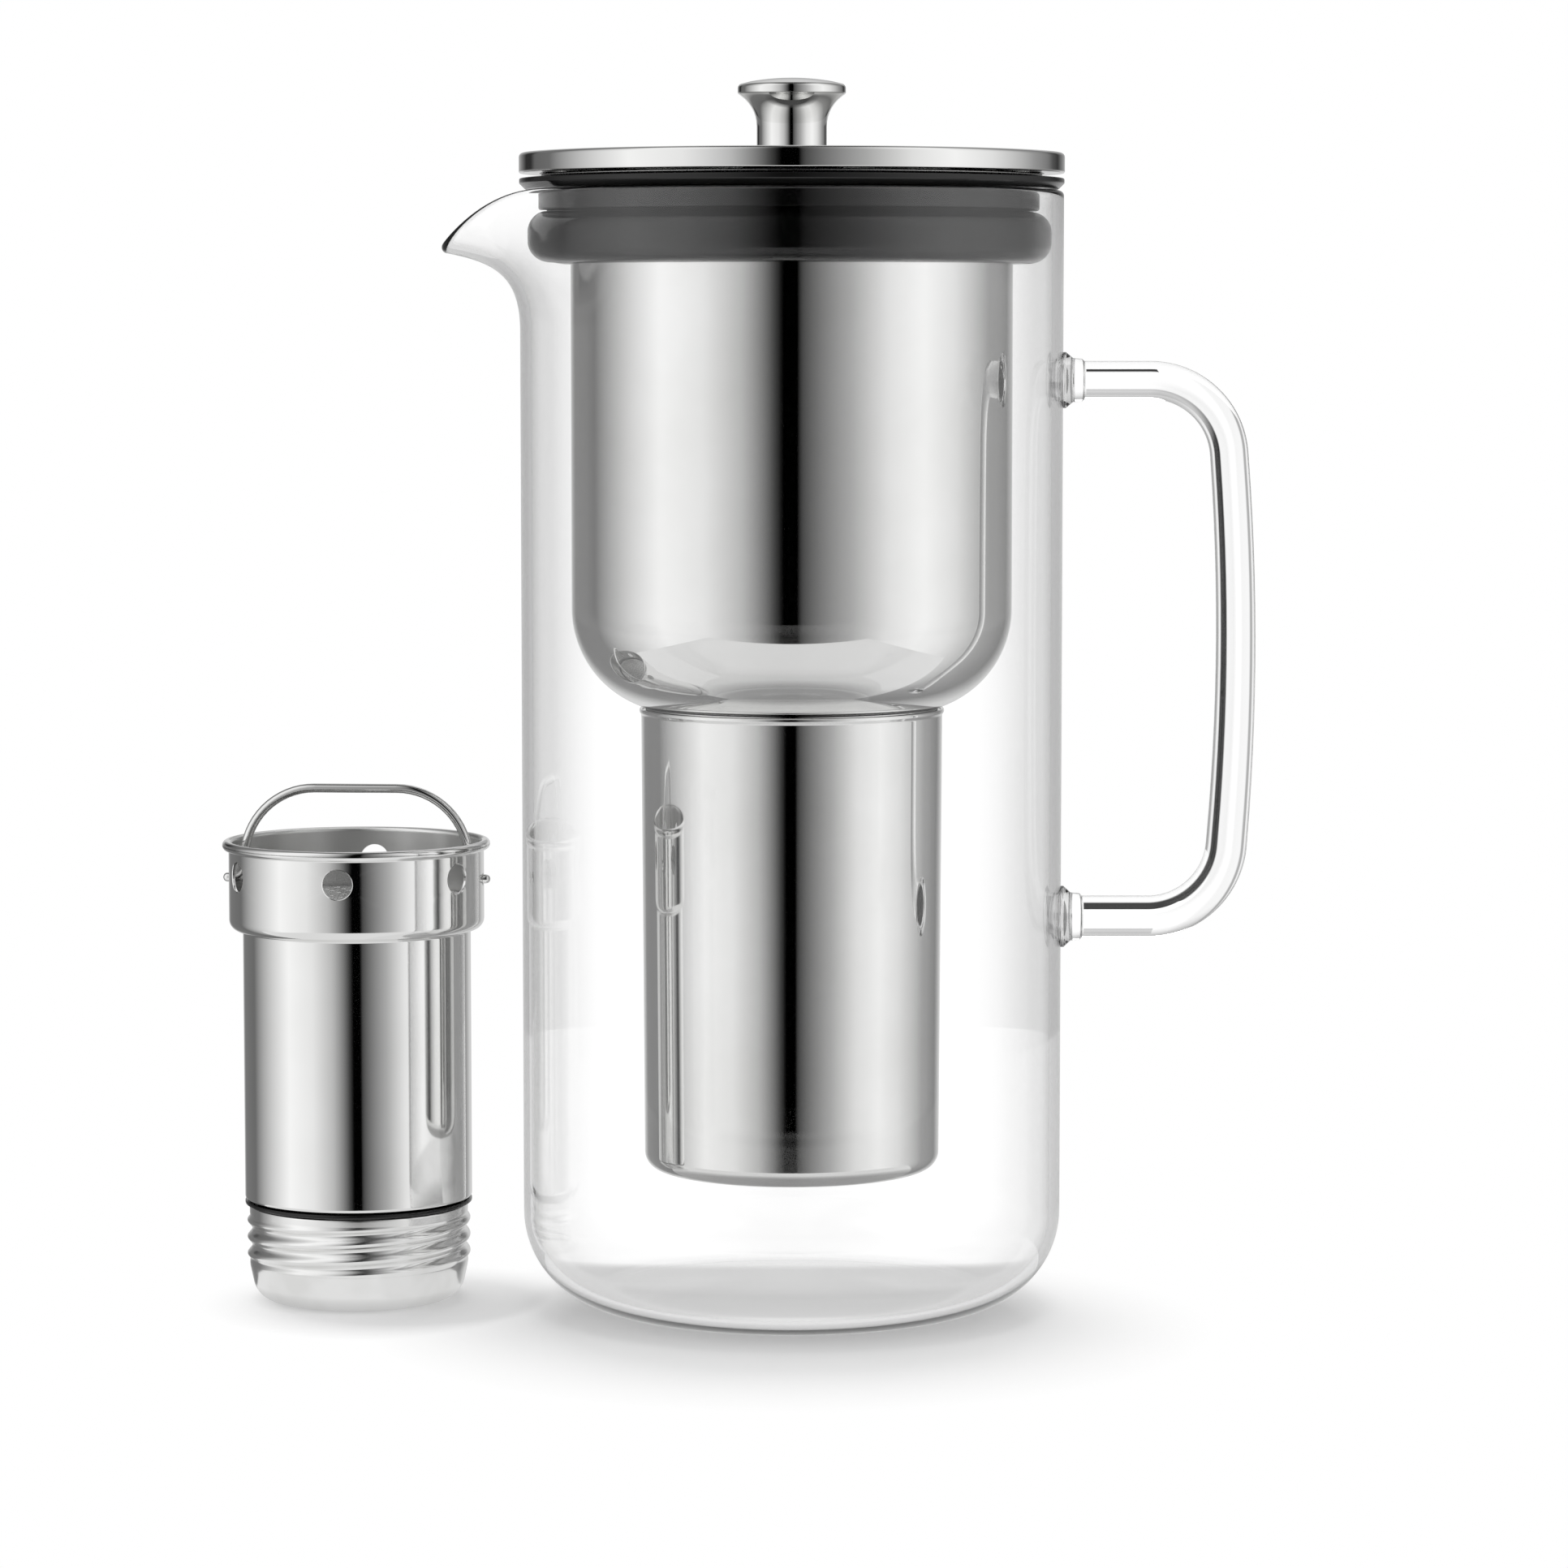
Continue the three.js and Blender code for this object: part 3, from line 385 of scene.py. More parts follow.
# %% [markdown]
# ## The glass jug
#
# The jug starts as a straight glass tube with a closed, rounded base. At the rim the hot wall is
# pulled out into a spout, and the lip is melted round. Pulling keeps the thickness, so the inner
# skin is the outer skin moved inwards along its own normal. The flare's outer skin is one formula
# of two parameters: the share of the way up, and the azimuth.

# %% Jug surface
JUG_R, JUG_H, JUG_WALL, JUG_FLOOR = 65.0, 268.6, 2.6, 3.0
JUG_CORNER, INNER_CORNER = 23.0, 19.6
SPOUT_REACH, SPOUT_DEPTH, SPOUT_DROP, SPOUT_HALF = 19.0, 32.0, 13.5, np.radians(34)
SPOUT_OUT, SPOUT_UP_LOW, SPOUT_UP_HIGH = 0.34, 0.7, 0.88
JUG_IN, WALL_TOP = JUG_R - JUG_WALL, JUG_H - JUG_WALL / 2 - SPOUT_DEPTH


def flare(share, azimuth):
    """Outer skin above the flare's start. At the spout's middle it follows a cubic curve that
    hugs the wall and then bends out to the tip; the pull fades as the squared cosine of the angle
    from the middle, and away from the spout the skin goes straight up."""
    away = np.clip(np.abs(azimuth - np.pi) / SPOUT_HALF, 0, 1)
    pull = np.cos(away * np.pi / 2) ** 2
    reach, rise = SPOUT_REACH - JUG_WALL / 2, SPOUT_DEPTH - SPOUT_DROP
    t, u = share, 1 - share
    out = (3 * u * t**2 * SPOUT_OUT + t**3) * reach
    up = (3 * u**2 * t * SPOUT_UP_LOW + 3 * u * t**2 * SPOUT_UP_HIGH + t**3) * rise
    r = JUG_R + pull * out
    z = WALL_TOP + share * SPOUT_DEPTH + pull**2 * (up - share * SPOUT_DEPTH)
    return polar(r, azimuth, z)


def flare_glass(share, azimuth, depth, above):
    """A point of the flare moved `depth` into the glass along its normal, and `above` up its skin.
    The normal is the cross product of small steps round and up."""
    small = 1e-3
    around = flare(share, azimuth + small) - flare(share, azimuth - small)
    up = flare(share + small, azimuth) - flare(share - small, azimuth)
    up /= np.linalg.norm(up, axis=-1, keepdims=True)
    out = np.cross(around, up)
    out /= np.linalg.norm(out, axis=-1, keepdims=True)
    return flare(share, azimuth) - out * depth + up * above


def jug_grid(columns=288, rows=40):
    """Base and wall outside, flare outside, round lip, flare inside, and wall and base inside."""
    azimuth = azimuths(columns)
    share = np.linspace(0, 1, rows)[:, None]
    lip = np.linspace(-np.pi / 2, np.pi / 2, 13)[1:-1, None]
    outside = soft_line([(0, 0), (JUG_R, 0, JUG_CORNER), (JUG_R, WALL_TOP)], per_quarter=24)[:-1]
    inside = soft_line([(JUG_IN, WALL_TOP), (JUG_IN, JUG_FLOOR, INNER_CORNER), (0, JUG_FLOOR)],
                       per_quarter=24)[1:]
    half = JUG_WALL / 2
    return np.concatenate([
        turned(outside, columns),
        flare_glass(share, azimuth, 0, 0),
        flare_glass(np.ones_like(lip), azimuth, (half + half * np.sin(lip))[..., None],
                    (half * np.cos(lip))[..., None]),
        flare_glass(share[::-1], azimuth, JUG_WALL, 0),
        turned(inside, columns),
    ])


make_piece("glass_jug_body", [(jug_grid(), False, True)], "jug", "glass_jug", CLEAR_GLASS)

# %% [markdown]
# ## The glass handle
#
# The handle is a bent glass rod whose two ends were melted onto the wall, which left a flared
# foot at each end. A rod is a circle carried along a path, with its own radius at each point. The
# feet are then sheared to follow the round wall, so that they sit on it all over.

# %% Rods and the handle
def rod(path, radius, sides=48):
    """P(s, a) = C(s) + R(s) (cos a N(s) + sin a Y) along a flat path in the XZ plane, where N is
    the path's normal in that plane. A radius of 0 closes an end."""
    ahead = np.diff(path, axis=0)
    ahead /= np.linalg.norm(ahead, axis=1, keepdims=True)
    along = np.vstack([ahead[:1], ahead]) + np.vstack([ahead, ahead[-1:]])
    along /= np.linalg.norm(along, axis=1, keepdims=True)
    a = azimuths(sides)
    r = radius[:, None]
    x = path[:, :1] + r * np.cos(a) * along[:, 1:]
    z = path[:, 1:] - r * np.cos(a) * along[:, :1]
    return np.stack([x, r * np.sin(a), z], -1)


HANDLE_ROD, HANDLE_TOP, HANDLE_SPAN = 4.75, 223.5, 129.4
HANDLE_OUT, HANDLE_BOW, HANDLE_BEND, GRIP_RADIUS = 103.6, 5.1, 19.0, 580.0
BAR_START, THICKER_BELOW, SEAT_DEPTH, SEAT_GAP = JUG_R + 8.5, [1.06, 1.0, 0.96], 6.0, 0.03


def handle_grid():
    """Foot, upper arm, bowed grip, lower arm, foot. The rod was drawn by hand and is a little
    thicker below, so its radius grows down the path. The foot's flat end leans a little, so that
    every step has a length."""
    low, middle = HANDLE_TOP - HANDLE_SPAN, HANDLE_TOP - HANDLE_SPAN / 2
    foot = soft_line([(0, 0), (0, 7.0, 0.2), (0.7, 7.0, 0.3), (2.4, 5.5, 1), (4.6, 5.3, 0.4),
                      (5.1, HANDLE_ROD, 0.3), (8, HANDLE_ROD)], per_quarter=6)
    foot[:, 0] += np.linspace(0, 0.01, len(foot))
    bar = soft_line([
        (BAR_START, HANDLE_TOP), (HANDLE_OUT, HANDLE_TOP, HANDLE_BEND),
        (HANDLE_OUT + HANDLE_BOW, middle, GRIP_RADIUS),
        (HANDLE_OUT, low, HANDLE_BEND), (BAR_START, low),
    ], per_quarter=120)
    end = np.stack([JUG_R + foot[:, 0], np.full(len(foot), HANDLE_TOP)], 1)
    path = np.vstack([end, bar, (end - [0, HANDLE_SPAN])[::-1]])
    radius = np.concatenate([foot[:, 1], np.full(len(bar), HANDLE_ROD), foot[::-1, 1]])
    radius *= np.interp(path[:, 1], [low, middle, HANDLE_TOP], THICKER_BELOW)
    grid = rod(path, radius)
    seat = np.clip(1 - (grid[..., 0] - JUG_R) / SEAT_DEPTH, 0, 1)
    grid[..., 0] += seat * (np.sqrt(JUG_R**2 - grid[..., 1] ** 2) - JUG_R) + SEAT_GAP
    return grid


make_piece("glass_handle_rod", [(handle_grid(), False, True)], "jug", "glass_handle",
           CLEAR_GLASS)

# %% [markdown]
# ## The mouth collar and its wiper seal
#
# A black collar hangs the steel funnel in the jug's mouth. Its thin flange rests on the rim, and
# a fat silicone ring below the neck wipes the inside of the glass. Each is one closed outline
# carried round the axis. The collar's rib fits a slot in the seal.

# %% Collar and seal
FLANGE_TOP, COLLAR_FOOT, SEAL_H = 271.5, 251.3, 12.1
NECK, GROOVE, TONGUE_Z = 59.2, 56.8, COLLAR_FOOT + SEAL_H / 2

collar = soft_line([
    (53.2, COLLAR_FOOT, 0.3), (GROOVE, COLLAR_FOOT, 0.3), (GROOVE, TONGUE_Z - 1, 0.1),
    (GROOVE + 1.2, TONGUE_Z, 0.2), (GROOVE, TONGUE_Z + 1, 0.1), (GROOVE, 263.7, 0.2),
    (NECK, 263.7, 0.6), (NECK, 268.9, 2), (63.7, 268.9, 0.5), (65.1, FLANGE_TOP - 1.2, 0.35),
    (65.1, FLANGE_TOP, 0.4),
    (57.2, FLANGE_TOP, 0.2), (57.2, 270.4, 0.15), (53.2, 270.4, 1.4),
], closed=True)
make_piece("mouth_collar_ring", [(turned(collar), True, True)], "funnel", "mouth_collar",
           BLACK_PLASTIC)

seal = soft_line([
    (57.1, COLLAR_FOOT, 0.3), (62.1, COLLAR_FOOT, 4.9), (62.1, COLLAR_FOOT + SEAL_H, 4.9),
    (57.1, COLLAR_FOOT + SEAL_H, 0.3), (57.1, TONGUE_Z + 1.3, 0.1), (58.3, TONGUE_Z, 0.2),
    (57.1, TONGUE_Z - 1.3, 0.1),
], closed=True, per_quarter=16)
make_piece("wiper_seal_ring", [(turned(seal), True, True)], "funnel", "wiper_seal",
           BLACK_SILICONE)

# %% [markdown]
# ## The steel funnel
#
# The bowl and the tube below it are deep drawn from thin sheet. A sheet's section is one line
# with a thickness, so the line is drawn once and set over by 0.8 mm, and its free edges are
# rolled round. The outlet seal is a grommet that grips the hole in the tube's floor.

# %% Bowl, tube and outlet seal
SHEET, BOWL_R, BOWL_CORNER, BOWL_BEND_Z, SPIGOT_R = 0.8, 52.9, 25.0, 169.0, 35.2


def bowl_line():
    """Lip, wall, a 25 mm arc that stops at the outlet, and the outlet's short spigot."""
    lip = soft_line([(56.9, 270.7), (BOWL_R, 270.7, 1.8), (BOWL_R, BOWL_BEND_Z)])[:-1]
    centre = BOWL_R - BOWL_CORNER
    a = np.linspace(0, -np.arccos((SPIGOT_R - centre) / BOWL_CORNER), 40)
    corner = np.stack([centre + BOWL_CORNER * np.cos(a), BOWL_BEND_Z + BOWL_CORNER * np.sin(a)], 1)
    spigot = [(SPIGOT_R, 144.6), (SPIGOT_R, 136.9)]
    return np.vstack([lip, [(BOWL_R, BOWL_BEND_Z + 0.3)], corner, spigot])


tube_line = soft_line([
    (36.75, 144.9), (36.75, 144.1, 0.3), (36.3, 143.4, 0.6), (35.6, 33.3, 4), (12, 33.3),
], per_quarter=14)
for piece_name, line, cad_node in [("funnel_bowl_shell", bowl_line(), "funnel_bowl"),
                                   ("filter_tube_shell", tube_line, "filter_tube")]:
    make_piece(piece_name, [(turned(sheet_section(line, SHEET), 240), True, True)], "funnel",
               cad_node, POLISHED_STEEL)

grommet = soft_line([
    (7, 31.5, 0.5), (16, 31.5, 0.9), (16, 33.0, 0.2), (11.7, 33.0, 0.2), (11.7, 34.4, 0.2),
    (16, 34.4, 0.2), (16, 35.9, 0.9), (7, 35.9, 0.5),
], closed=True, per_quarter=6)
make_piece("outlet_grommet", [(turned(grommet, 96), True, True)], "funnel", "outlet_seal",
           GREY_SILICONE)

# %% [markdown]
# ## The lid, its knob and its screw
#
# The lid is a flat disc with a rolled edge, and a pressed liner below it has a ridge that centres
# it in the bowl. The knob is turned from bar. One screw from below holds all three. Its head has
# a cross recess: seen along the axis, a cross is a radius that changes with the azimuth, the
# larger of two rectangles, so the recess is a turned surface with that radius.

# %% Lid pieces
lid_line = soft_line([(2.3, 277.5), (65.15, 277.5, 1.0), (65.15, 272.7, 0.4), (60.15, 272.7)])
make_piece("lid_disc", [(turned(sheet_section(lid_line, SHEET), 240), True, True)], "lid",
           "lid_shell", POLISHED_STEEL)

liner_line = soft_line([
    (2.3, 276.4), (9, 276.4, 1), (12.5, 272.5, 1), (45.8, 272.5, 0.9), (45.8, 266.5, 1.3),
    (50.8, 266.5, 1.3), (50.8, 272.5, 0.9), (59.85, 272.5),
])
make_piece("lid_liner_plate", [(turned(sheet_section(liner_line, 0.7)), True, True)], "lid",
           "lid_liner", PRESSED_STEEL)

KNOB_TOP, DOME_RADIUS = 295.4, 56.0
dome_r = np.linspace(1, 10, 10)
knob_line = np.vstack([
    [(0, KNOB_TOP)],
    np.stack([dome_r, KNOB_TOP - dome_r**2 / (2 * DOME_RADIUS)], 1),
    soft_line([(10, 294.5), (12.9, 293.8, 1.1), (12.9, 291.7, 0.5), (8.35, 288.5, 9),
               (8.35, 277.8, 0.4), (2.3, 277.8)])[1:],
    [(2.3, 288.5), (0, 288.5)],
])
make_piece("lid_knob_turned", [(turned(knob_line, 144), False, True)], "lid", "lid_knob",
           POLISHED_STEEL)


ARM_LONG, ARM_HALF = 2.0, 0.45


def screw_grids(columns=96):
    """Shank and head as a turned line, and the recess with the radius of its cross."""
    a = azimuths(columns)
    c, s = np.abs(np.cos(a)) + 1e-9, np.abs(np.sin(a)) + 1e-9
    cross = np.maximum(np.minimum(ARM_LONG / c, ARM_HALF / s),
                       np.minimum(ARM_HALF / c, ARM_LONG / s))
    body = soft_line([(0, 286.5), (2, 286.5, 0.4), (2, 274.3, 0.2), (3.6, 274.3, 0.2),
                      (3.6, 271.9, 1), (2.4, 271.9)], per_quarter=6)
    r = np.stack([cross + 0.1, cross, cross * 0.55, cross * 0])
    z = np.array([271.9, 272.0, 273.2, 273.4])[:, None]
    return [(np.concatenate([turned(body, columns), polar(r, a, z)]), False, True)]


make_piece("lid_screw_cross", screw_grids(), "lid", "lid_screw", PRESSED_STEEL)
washer = soft_line([
    (2.3, 274.6, 0.2), (4.8, 274.6, 0.2), (4.8, 275.4, 0.2), (2.3, 275.4, 0.2),
], closed=True, per_quarter=4)
make_piece("lid_screw_washer", [(turned(washer, 96), True, True)], "lid", "screw_washer",
           BLACK_SILICONE)

# %% [markdown]
# ## Holes in sheet
#
# The cartridge has round holes in thin sheet. A cut by Boolean leaves long faces that spoil a
# mirror finish, so each hole is a patch of its own: straight lines run from a frame round the
# hole to its circle, through the sheet with a broken edge, and back along the other side. Patches
# share their frames with their neighbours, so they weld into one skin.

# %% Holed patches
def frame_loop(low, high, steps):
    """Once round the rectangle from low to high, with steps[0] by steps[1] steps."""
    across, up = [np.arange(n)[:, None] / n for n in steps]
    (left, bottom), (right, top) = low, high
    corners = np.array([(left, bottom), (right, bottom), (right, top), (left, top)], float)
    return np.vstack([c + (d - c) * share for c, d, share in
                      zip(corners, np.roll(corners, -1, 0), [across, up, across, up])])


def holed_patch(loop, centre, radius, thickness, rings=2, edge=0.15):
    """(u, v, depth) points from the frame to the hole, through the sheet and back to the frame."""
    away = loop - centre
    away /= np.linalg.norm(away, axis=1, keepdims=True)
    circle = centre + away * (radius + edge)
    share = np.linspace(0, 1, rings)[:, None, None]
    skin = loop * (1 - share) + circle * share
    wall = centre + away * radius
    flat = np.concatenate([skin, [wall, wall], skin[::-1]])
    depth = np.concatenate([np.zeros(rings), [edge, thickness - edge], np.full(rings, thickness)])
    return np.concatenate([flat, np.broadcast_to(depth[:, None, None], flat.shape[:2] + (1,))], -1)


def sieve(rings, hole, pitch, top, thickness, columns=360):
    """A flat perforated disc, as grids. Ring k has a hole in each of its equal sectors; a sector
    is a patch between two arcs that is turned into place, so that its points meet the next."""
    loop = polar(pitch / 2, azimuths(columns), 0)[:, :2]
    grids = [holed_patch(loop, np.zeros(2), hole, thickness)]
    for k, count in enumerate(rings, 1):
        half = np.pi / count
        low, high = (pitch * (k - 0.5), -half), (pitch * (k + 0.5), half)
        loop = frame_loop(low, high, (4, columns // count))
        flat = polar(loop[:, 0], loop[:, 1], 0)[:, :2]
        patch = holed_patch(flat, np.array([pitch * k, 0]), hole, thickness)
        step = 2 * np.pi / columns
        turn = np.arange(count) * 2 * half + half - step * np.floor(half / step + 1e-6)
        c, s = np.cos(turn)[:, None, None], np.sin(turn)[:, None, None]
        x, y = patch[..., 0] * c - patch[..., 1] * s, patch[..., 0] * s + patch[..., 1] * c
        grids += list(np.stack([x, y, np.broadcast_to(patch[..., 2], x.shape)], -1))
    return [(np.dstack([g[..., :2], top - g[..., 2:]]), False, True) for g in grids]


print("a sieve with two rings has", len(sieve((6, 12), 1, 4, 0, 0.6)), "patches")

# %% [markdown]
# ## The cartridge shell
#
# The can is spun from one tube: a neck that screws into the cap, a straight body, a step out to a
# wider collar, and a rolled rim. Six inlet holes and two small holes for the bail go through the
# collar. The cartridge stands a little turned, so its pieces are made upright on the axis and
# then put in place. The neck carries the same rolled thread as the cap, one clearance smaller.

# %% Place of the cartridge, and its thread
THREAD_PITCH, THREAD_STARTS, THREAD_DEPTH, THREAD_CREST = 4.1, 2, 0.6, 19.2


def stand(grids):
    """Turns grids about the upright axis and moves them to where the cartridge stands."""
    c, s = np.cos(CARTRIDGE_TURN), np.sin(CARTRIDGE_TURN)
    spin = np.array([(c, s, 0), (-s, c, 0), (0, 0, 1)])
    return [(points @ spin + CARTRIDGE_AT, rows, columns) for points, rows, columns in grids]


def threaded(mean, z, low, high, columns):
    """r(z, a) = mean + depth cos(2 pi (z - crest) / pitch - starts a), faded out at both ends."""
    a = azimuths(columns)
    z = z[:, None]
    ramp = [np.clip(x, 0, 1) for x in ((z - low) / 2, (high - z) / 2)]
    fade = np.prod([x * x * (3 - 2 * x) for x in ramp], axis=0)
    phase = 2 * np.pi * (z - THREAD_CREST) / THREAD_PITCH - THREAD_STARTS * a
    r = mean + THREAD_DEPTH * fade * np.cos(phase)
    return polar(r, a, z)


SHELL_R, COLLAR_R, SHELL_WALL, RIM_Z, CAP_R = 27.6, 30.9, 0.8, 112.3, 26.55
BAND_LOW, BAND_HIGH, HOLE_Z, PIN_Z = 98.6, 109.2, 104.4, 102.8


def band_patch(middle, half, steps, hole, hole_z):
    """One holed sector of the collar: (u, z, depth) goes to r = R - depth, a = middle + u / R."""
    width = np.radians(half) * COLLAR_R
    loop = frame_loop((-width, BAND_LOW), (width, BAND_HIGH), (steps, 10))
    patch = holed_patch(loop, np.array([0, hole_z]), hole, SHELL_WALL, rings=7)
    a = np.radians(middle) + patch[..., 0] / COLLAR_R
    r = COLLAR_R - patch[..., 2]
    return (polar(r, a, patch[..., 1]), False, True)


def plain_patch(middle, half, steps, r):
    """One sector of the collar's skin with no hole."""
    a = np.radians(np.linspace(middle - half, middle + half, steps + 1))
    z = np.linspace(BAND_LOW, BAND_HIGH, 11)[:, None]
    return (polar(r, a, z), False, False)


def shell_grids(columns=180):
    """Below the band, the band with its holes, and the rim above it."""
    inner = COLLAR_R - SHELL_WALL
    inside = soft_line([(inner, BAND_LOW), (inner, 91.3, 2.2), (26.8, 91.3, 0.4), (26.8, 25.6, 0.4),
                        (23.95, 25.6, 0.4), (23.95, 11.3, 0.3), (24.8, 11.3)])
    outside = soft_line([(24.75, 23.5), (24.75, 24.8, 0.3), (SHELL_R, 24.8, 0.8),
                         (SHELL_R, 90.5, 0.5), (COLLAR_R, 90.5, 2.6), (COLLAR_R, BAND_LOW)])
    neck = threaded(CAP_R - 1.25, np.linspace(11.5, 23.3, 60), 11.5, 23.3, columns)
    below = np.concatenate([turned(inside, columns), neck, turned(outside, columns)])
    rim = soft_line([(COLLAR_R, BAND_HIGH), (COLLAR_R, 110, 0.3), (32.4, 110, 1.05),
                     (32.4, RIM_Z, 1.05), (inner, RIM_Z, 1), (inner, BAND_HIGH)])
    grids = [(below, False, True), (turned(rim, columns), False, True)]
    grids += [band_patch(-90 + 60 * i, 20, 20, 3.6, HOLE_Z) for i in range(6)]
    grids += [band_patch(180 * i, 10, 10, 1.4, PIN_Z) for i in range(2)]
    grids += [plain_patch(m, 10, 10, r) for m in (60, 120, 240, 300) for r in (COLLAR_R, inner)]
    return stand(grids)


make_piece("cartridge_can", shell_grids(), "can", "cartridge_shell", CAN_STEEL)

# %% [markdown]
# ## Strainer, granules and bail
#
# A perforated pan lies over the granules, just below the inlet holes. The bed is only seen
# through the pan's holes, so it is one solid whose top is a field of little domes: the height at
# a point falls with its distance to the nearest granule. The bail is bent wire with rounded ends.

# %% Strainer, granules and bail
pan_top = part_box("top_strainer")[1].z / MM
pan_rim = soft_line([(26, pan_top), (27.9, pan_top, 1.2), (27.9, 91.6, 0.25), (27.3, 91.6, 0.25),
                     (27.3, pan_top - 0.6, 0.6), (26, pan_top - 0.6)])
pan = sieve((6, 12, 18, 24, 30, 36), 0.9, 4, pan_top, 0.6) + [(turned(pan_rim, 360), False, True)]
make_piece("top_strainer_pan", stand(pan), "can", "top_strainer", PRESSED_STEEL)


GRANULES, BED_TOP, DOME_FALL, DOME_DEEPEST = 900, 89.9, 1.6, 2.0


def granule_grid(columns=180, rows=60):
    """z = top - d^2 / fall, for the distance d to the nearest granule, and plain sides below."""
    seeds = np.random.default_rng(7).uniform(-26, 26, (GRANULES, 2))
    a = azimuths(columns)
    r = np.linspace(0, 25.6, rows)[:, None]
    at = polar(r, a, 0)[..., :2]
    nearest = np.min(np.linalg.norm(at[:, :, None] - seeds, axis=-1), axis=-1)
    top = np.dstack([at, BED_TOP - np.clip(nearest**2 / DOME_FALL, 0, DOME_DEEPEST)])
    side = soft_line([(26.4, 88.5), (26.4, 26, 0.5), (23.6, 26, 0.5), (23.6, 6, 0.8), (0, 6)])
    return np.concatenate([top, turned(side, columns)])


make_piece("granule_bed", stand([(granule_grid(), False, True)]), "can", "filter_granules",
           CARBON)


WIRE_R, LEG_X, BAIL_TOP = 1.1, 27.45, 124.7


def bail_grid():
    """Pins, legs and top bar as one line in the XZ plane, with a half circle at both ends."""
    line = soft_line([(-31.5, PIN_Z), (-LEG_X, PIN_Z, 2.5), (-LEG_X, BAIL_TOP, 17.4),
                      (LEG_X, BAIL_TOP, 17.4), (LEG_X, PIN_Z, 2.5), (31.5, PIN_Z)], per_quarter=16)
    a = np.linspace(0, np.pi / 2, 7)[:-1]
    tip = np.stack([-31.6 - WIRE_R * np.cos(a), np.full_like(a, PIN_Z)], 1)
    path = np.vstack([tip, line, (tip * [-1, 1])[::-1]])
    tip_r = WIRE_R * np.sin(a)
    radius = np.concatenate([tip_r, np.full(len(line), WIRE_R), tip_r[::-1]])
    return rod(path, radius, 28)


make_piece("bail_wire", stand([(bail_grid(), False, True)]), "bail", "bail_handle",
           POLISHED_STEEL)

# %% [markdown]
# ## The screw cap
#
# The cap is spun steel with a two-start thread rolled through its wall, so the thread shows
# outside and inside. A thread is a turned wall whose radius is a cosine of height and azimuth
# together. The floor has outlet holes, a strainer disc lies on it, and a black gasket closes the
# joint to the can.

# %% Cap, strainer disc and gasket
CAP_WALL, CAP_FOOT, THREAD_FROM, THREAD_TO, CAP_TOP = 0.8, 1.8, 9.2, 21.4, 22.9


def cap_grids(columns=360):
    """Threaded wall outside and inside, rolled top edge, tapered foot, and a floor with holes."""
    z = np.linspace(THREAD_FROM, 22.7, 100)
    outer, inner = CAP_R, CAP_R - CAP_WALL
    foot = soft_line([(15, 0), (outer - CAP_FOOT, 0, 5.5), (outer, 8.5, 6), (outer, 9.1)],
                     per_quarter=16)
    a = np.linspace(0, np.pi, 7)
    half = CAP_WALL / 2
    top = np.stack([(outer + inner) / 2 + half * np.cos(a), CAP_TOP + half * np.sin(a)], 1)
    inside = soft_line([(inner, 9.1), (inner, 8.5, 5), (inner - CAP_FOOT, CAP_WALL, 4.7),
                        (15, CAP_WALL)], per_quarter=16)
    wall = np.concatenate([
        turned(foot, columns), threaded(outer, z, THREAD_FROM, THREAD_TO, columns),
        turned(top, columns), threaded(inner, z[::-1], THREAD_FROM, THREAD_TO, columns),
        turned(inside, columns),
    ])
    return stand([(wall, False, True)] + sieve((6,), 1.5, 10, CAP_WALL, CAP_WALL, columns))


make_piece("cartridge_screw_cap", cap_grids(), "cap", "cartridge_cap", SPUN_STEEL)

disc_rim = soft_line([(18, 1.7), (19.25, 1.7, 0.25), (19.25, 1.1, 0.25), (18, 1.1)], per_quarter=4)
disc = sieve((6, 12, 18, 24), 0.7, 4, 1.7, 0.6) + [(turned(disc_rim, 360), False, True)]
make_piece("cap_strainer_disc", stand(disc), "cap", "cap_strainer", PRESSED_STEEL)

gasket = soft_line([
    (25.05, 23.6, 0.2), (27.6, 23.6, 0.3), (27.6, 24.5, 0.3), (25.05, 24.5, 0.2),
], closed=True, per_quarter=5)
make_piece("cap_gasket_ring", stand([(turned(gasket), True, True)]), "gasket", "cap_gasket",
           BLACK_SILICONE)

# %% [markdown]
# ## The studio
#
# Polished steel shows the room more than itself. The photograph was taken between two large soft
# panels, with a narrow dark gap where the camera stands, on a white table before a white wall. The
# room is a sphere round the table with a grey level for each compass direction, a band above the
# lid that is darker at the back, and a dark top. It has a real distance, so the cartridge mirrors
# it a little differently from the jug. Only mirrored rays meet it.
#
# The camera sees plain white. Rays that one piece of glass has bent also see darker flags, which
# draw the edges of the glass, and a ring behind the handle, which draws the line along its rod.
# Rays that were mirrored inside the glass see plain levels.

# %% Kinds of rays
def larger(tree, first, second):
    """The larger of two values."""
    return calculate(tree, "MAXIMUM", first, second)


def between(tree, value, low, high):
    """1 where a value lies between two bounds."""
    return times(tree, is_over(tree, value, low), is_under(tree, value, high))


def was_mirrored(tree, path):
    """1 for rays that were mirrored at least once."""
    return is_over(tree, path["Glossy Depth"], 0.5)


def inside_glass(tree, path):
    """1 for rays that entered glass once, were mirrored in it and left it."""
    crossed_twice = between(tree, path["Transmission Depth"], 1.5, 2.5)
    return times(tree, was_mirrored(tree, path), crossed_twice)


HANDLE_VIEW, JUG_SIDE = np.array([0.087, 0.996, 0]), 0.045
RING_OUTSIDE, RING_INSIDE = (0.78, 0.83), (0.942, 0.957)


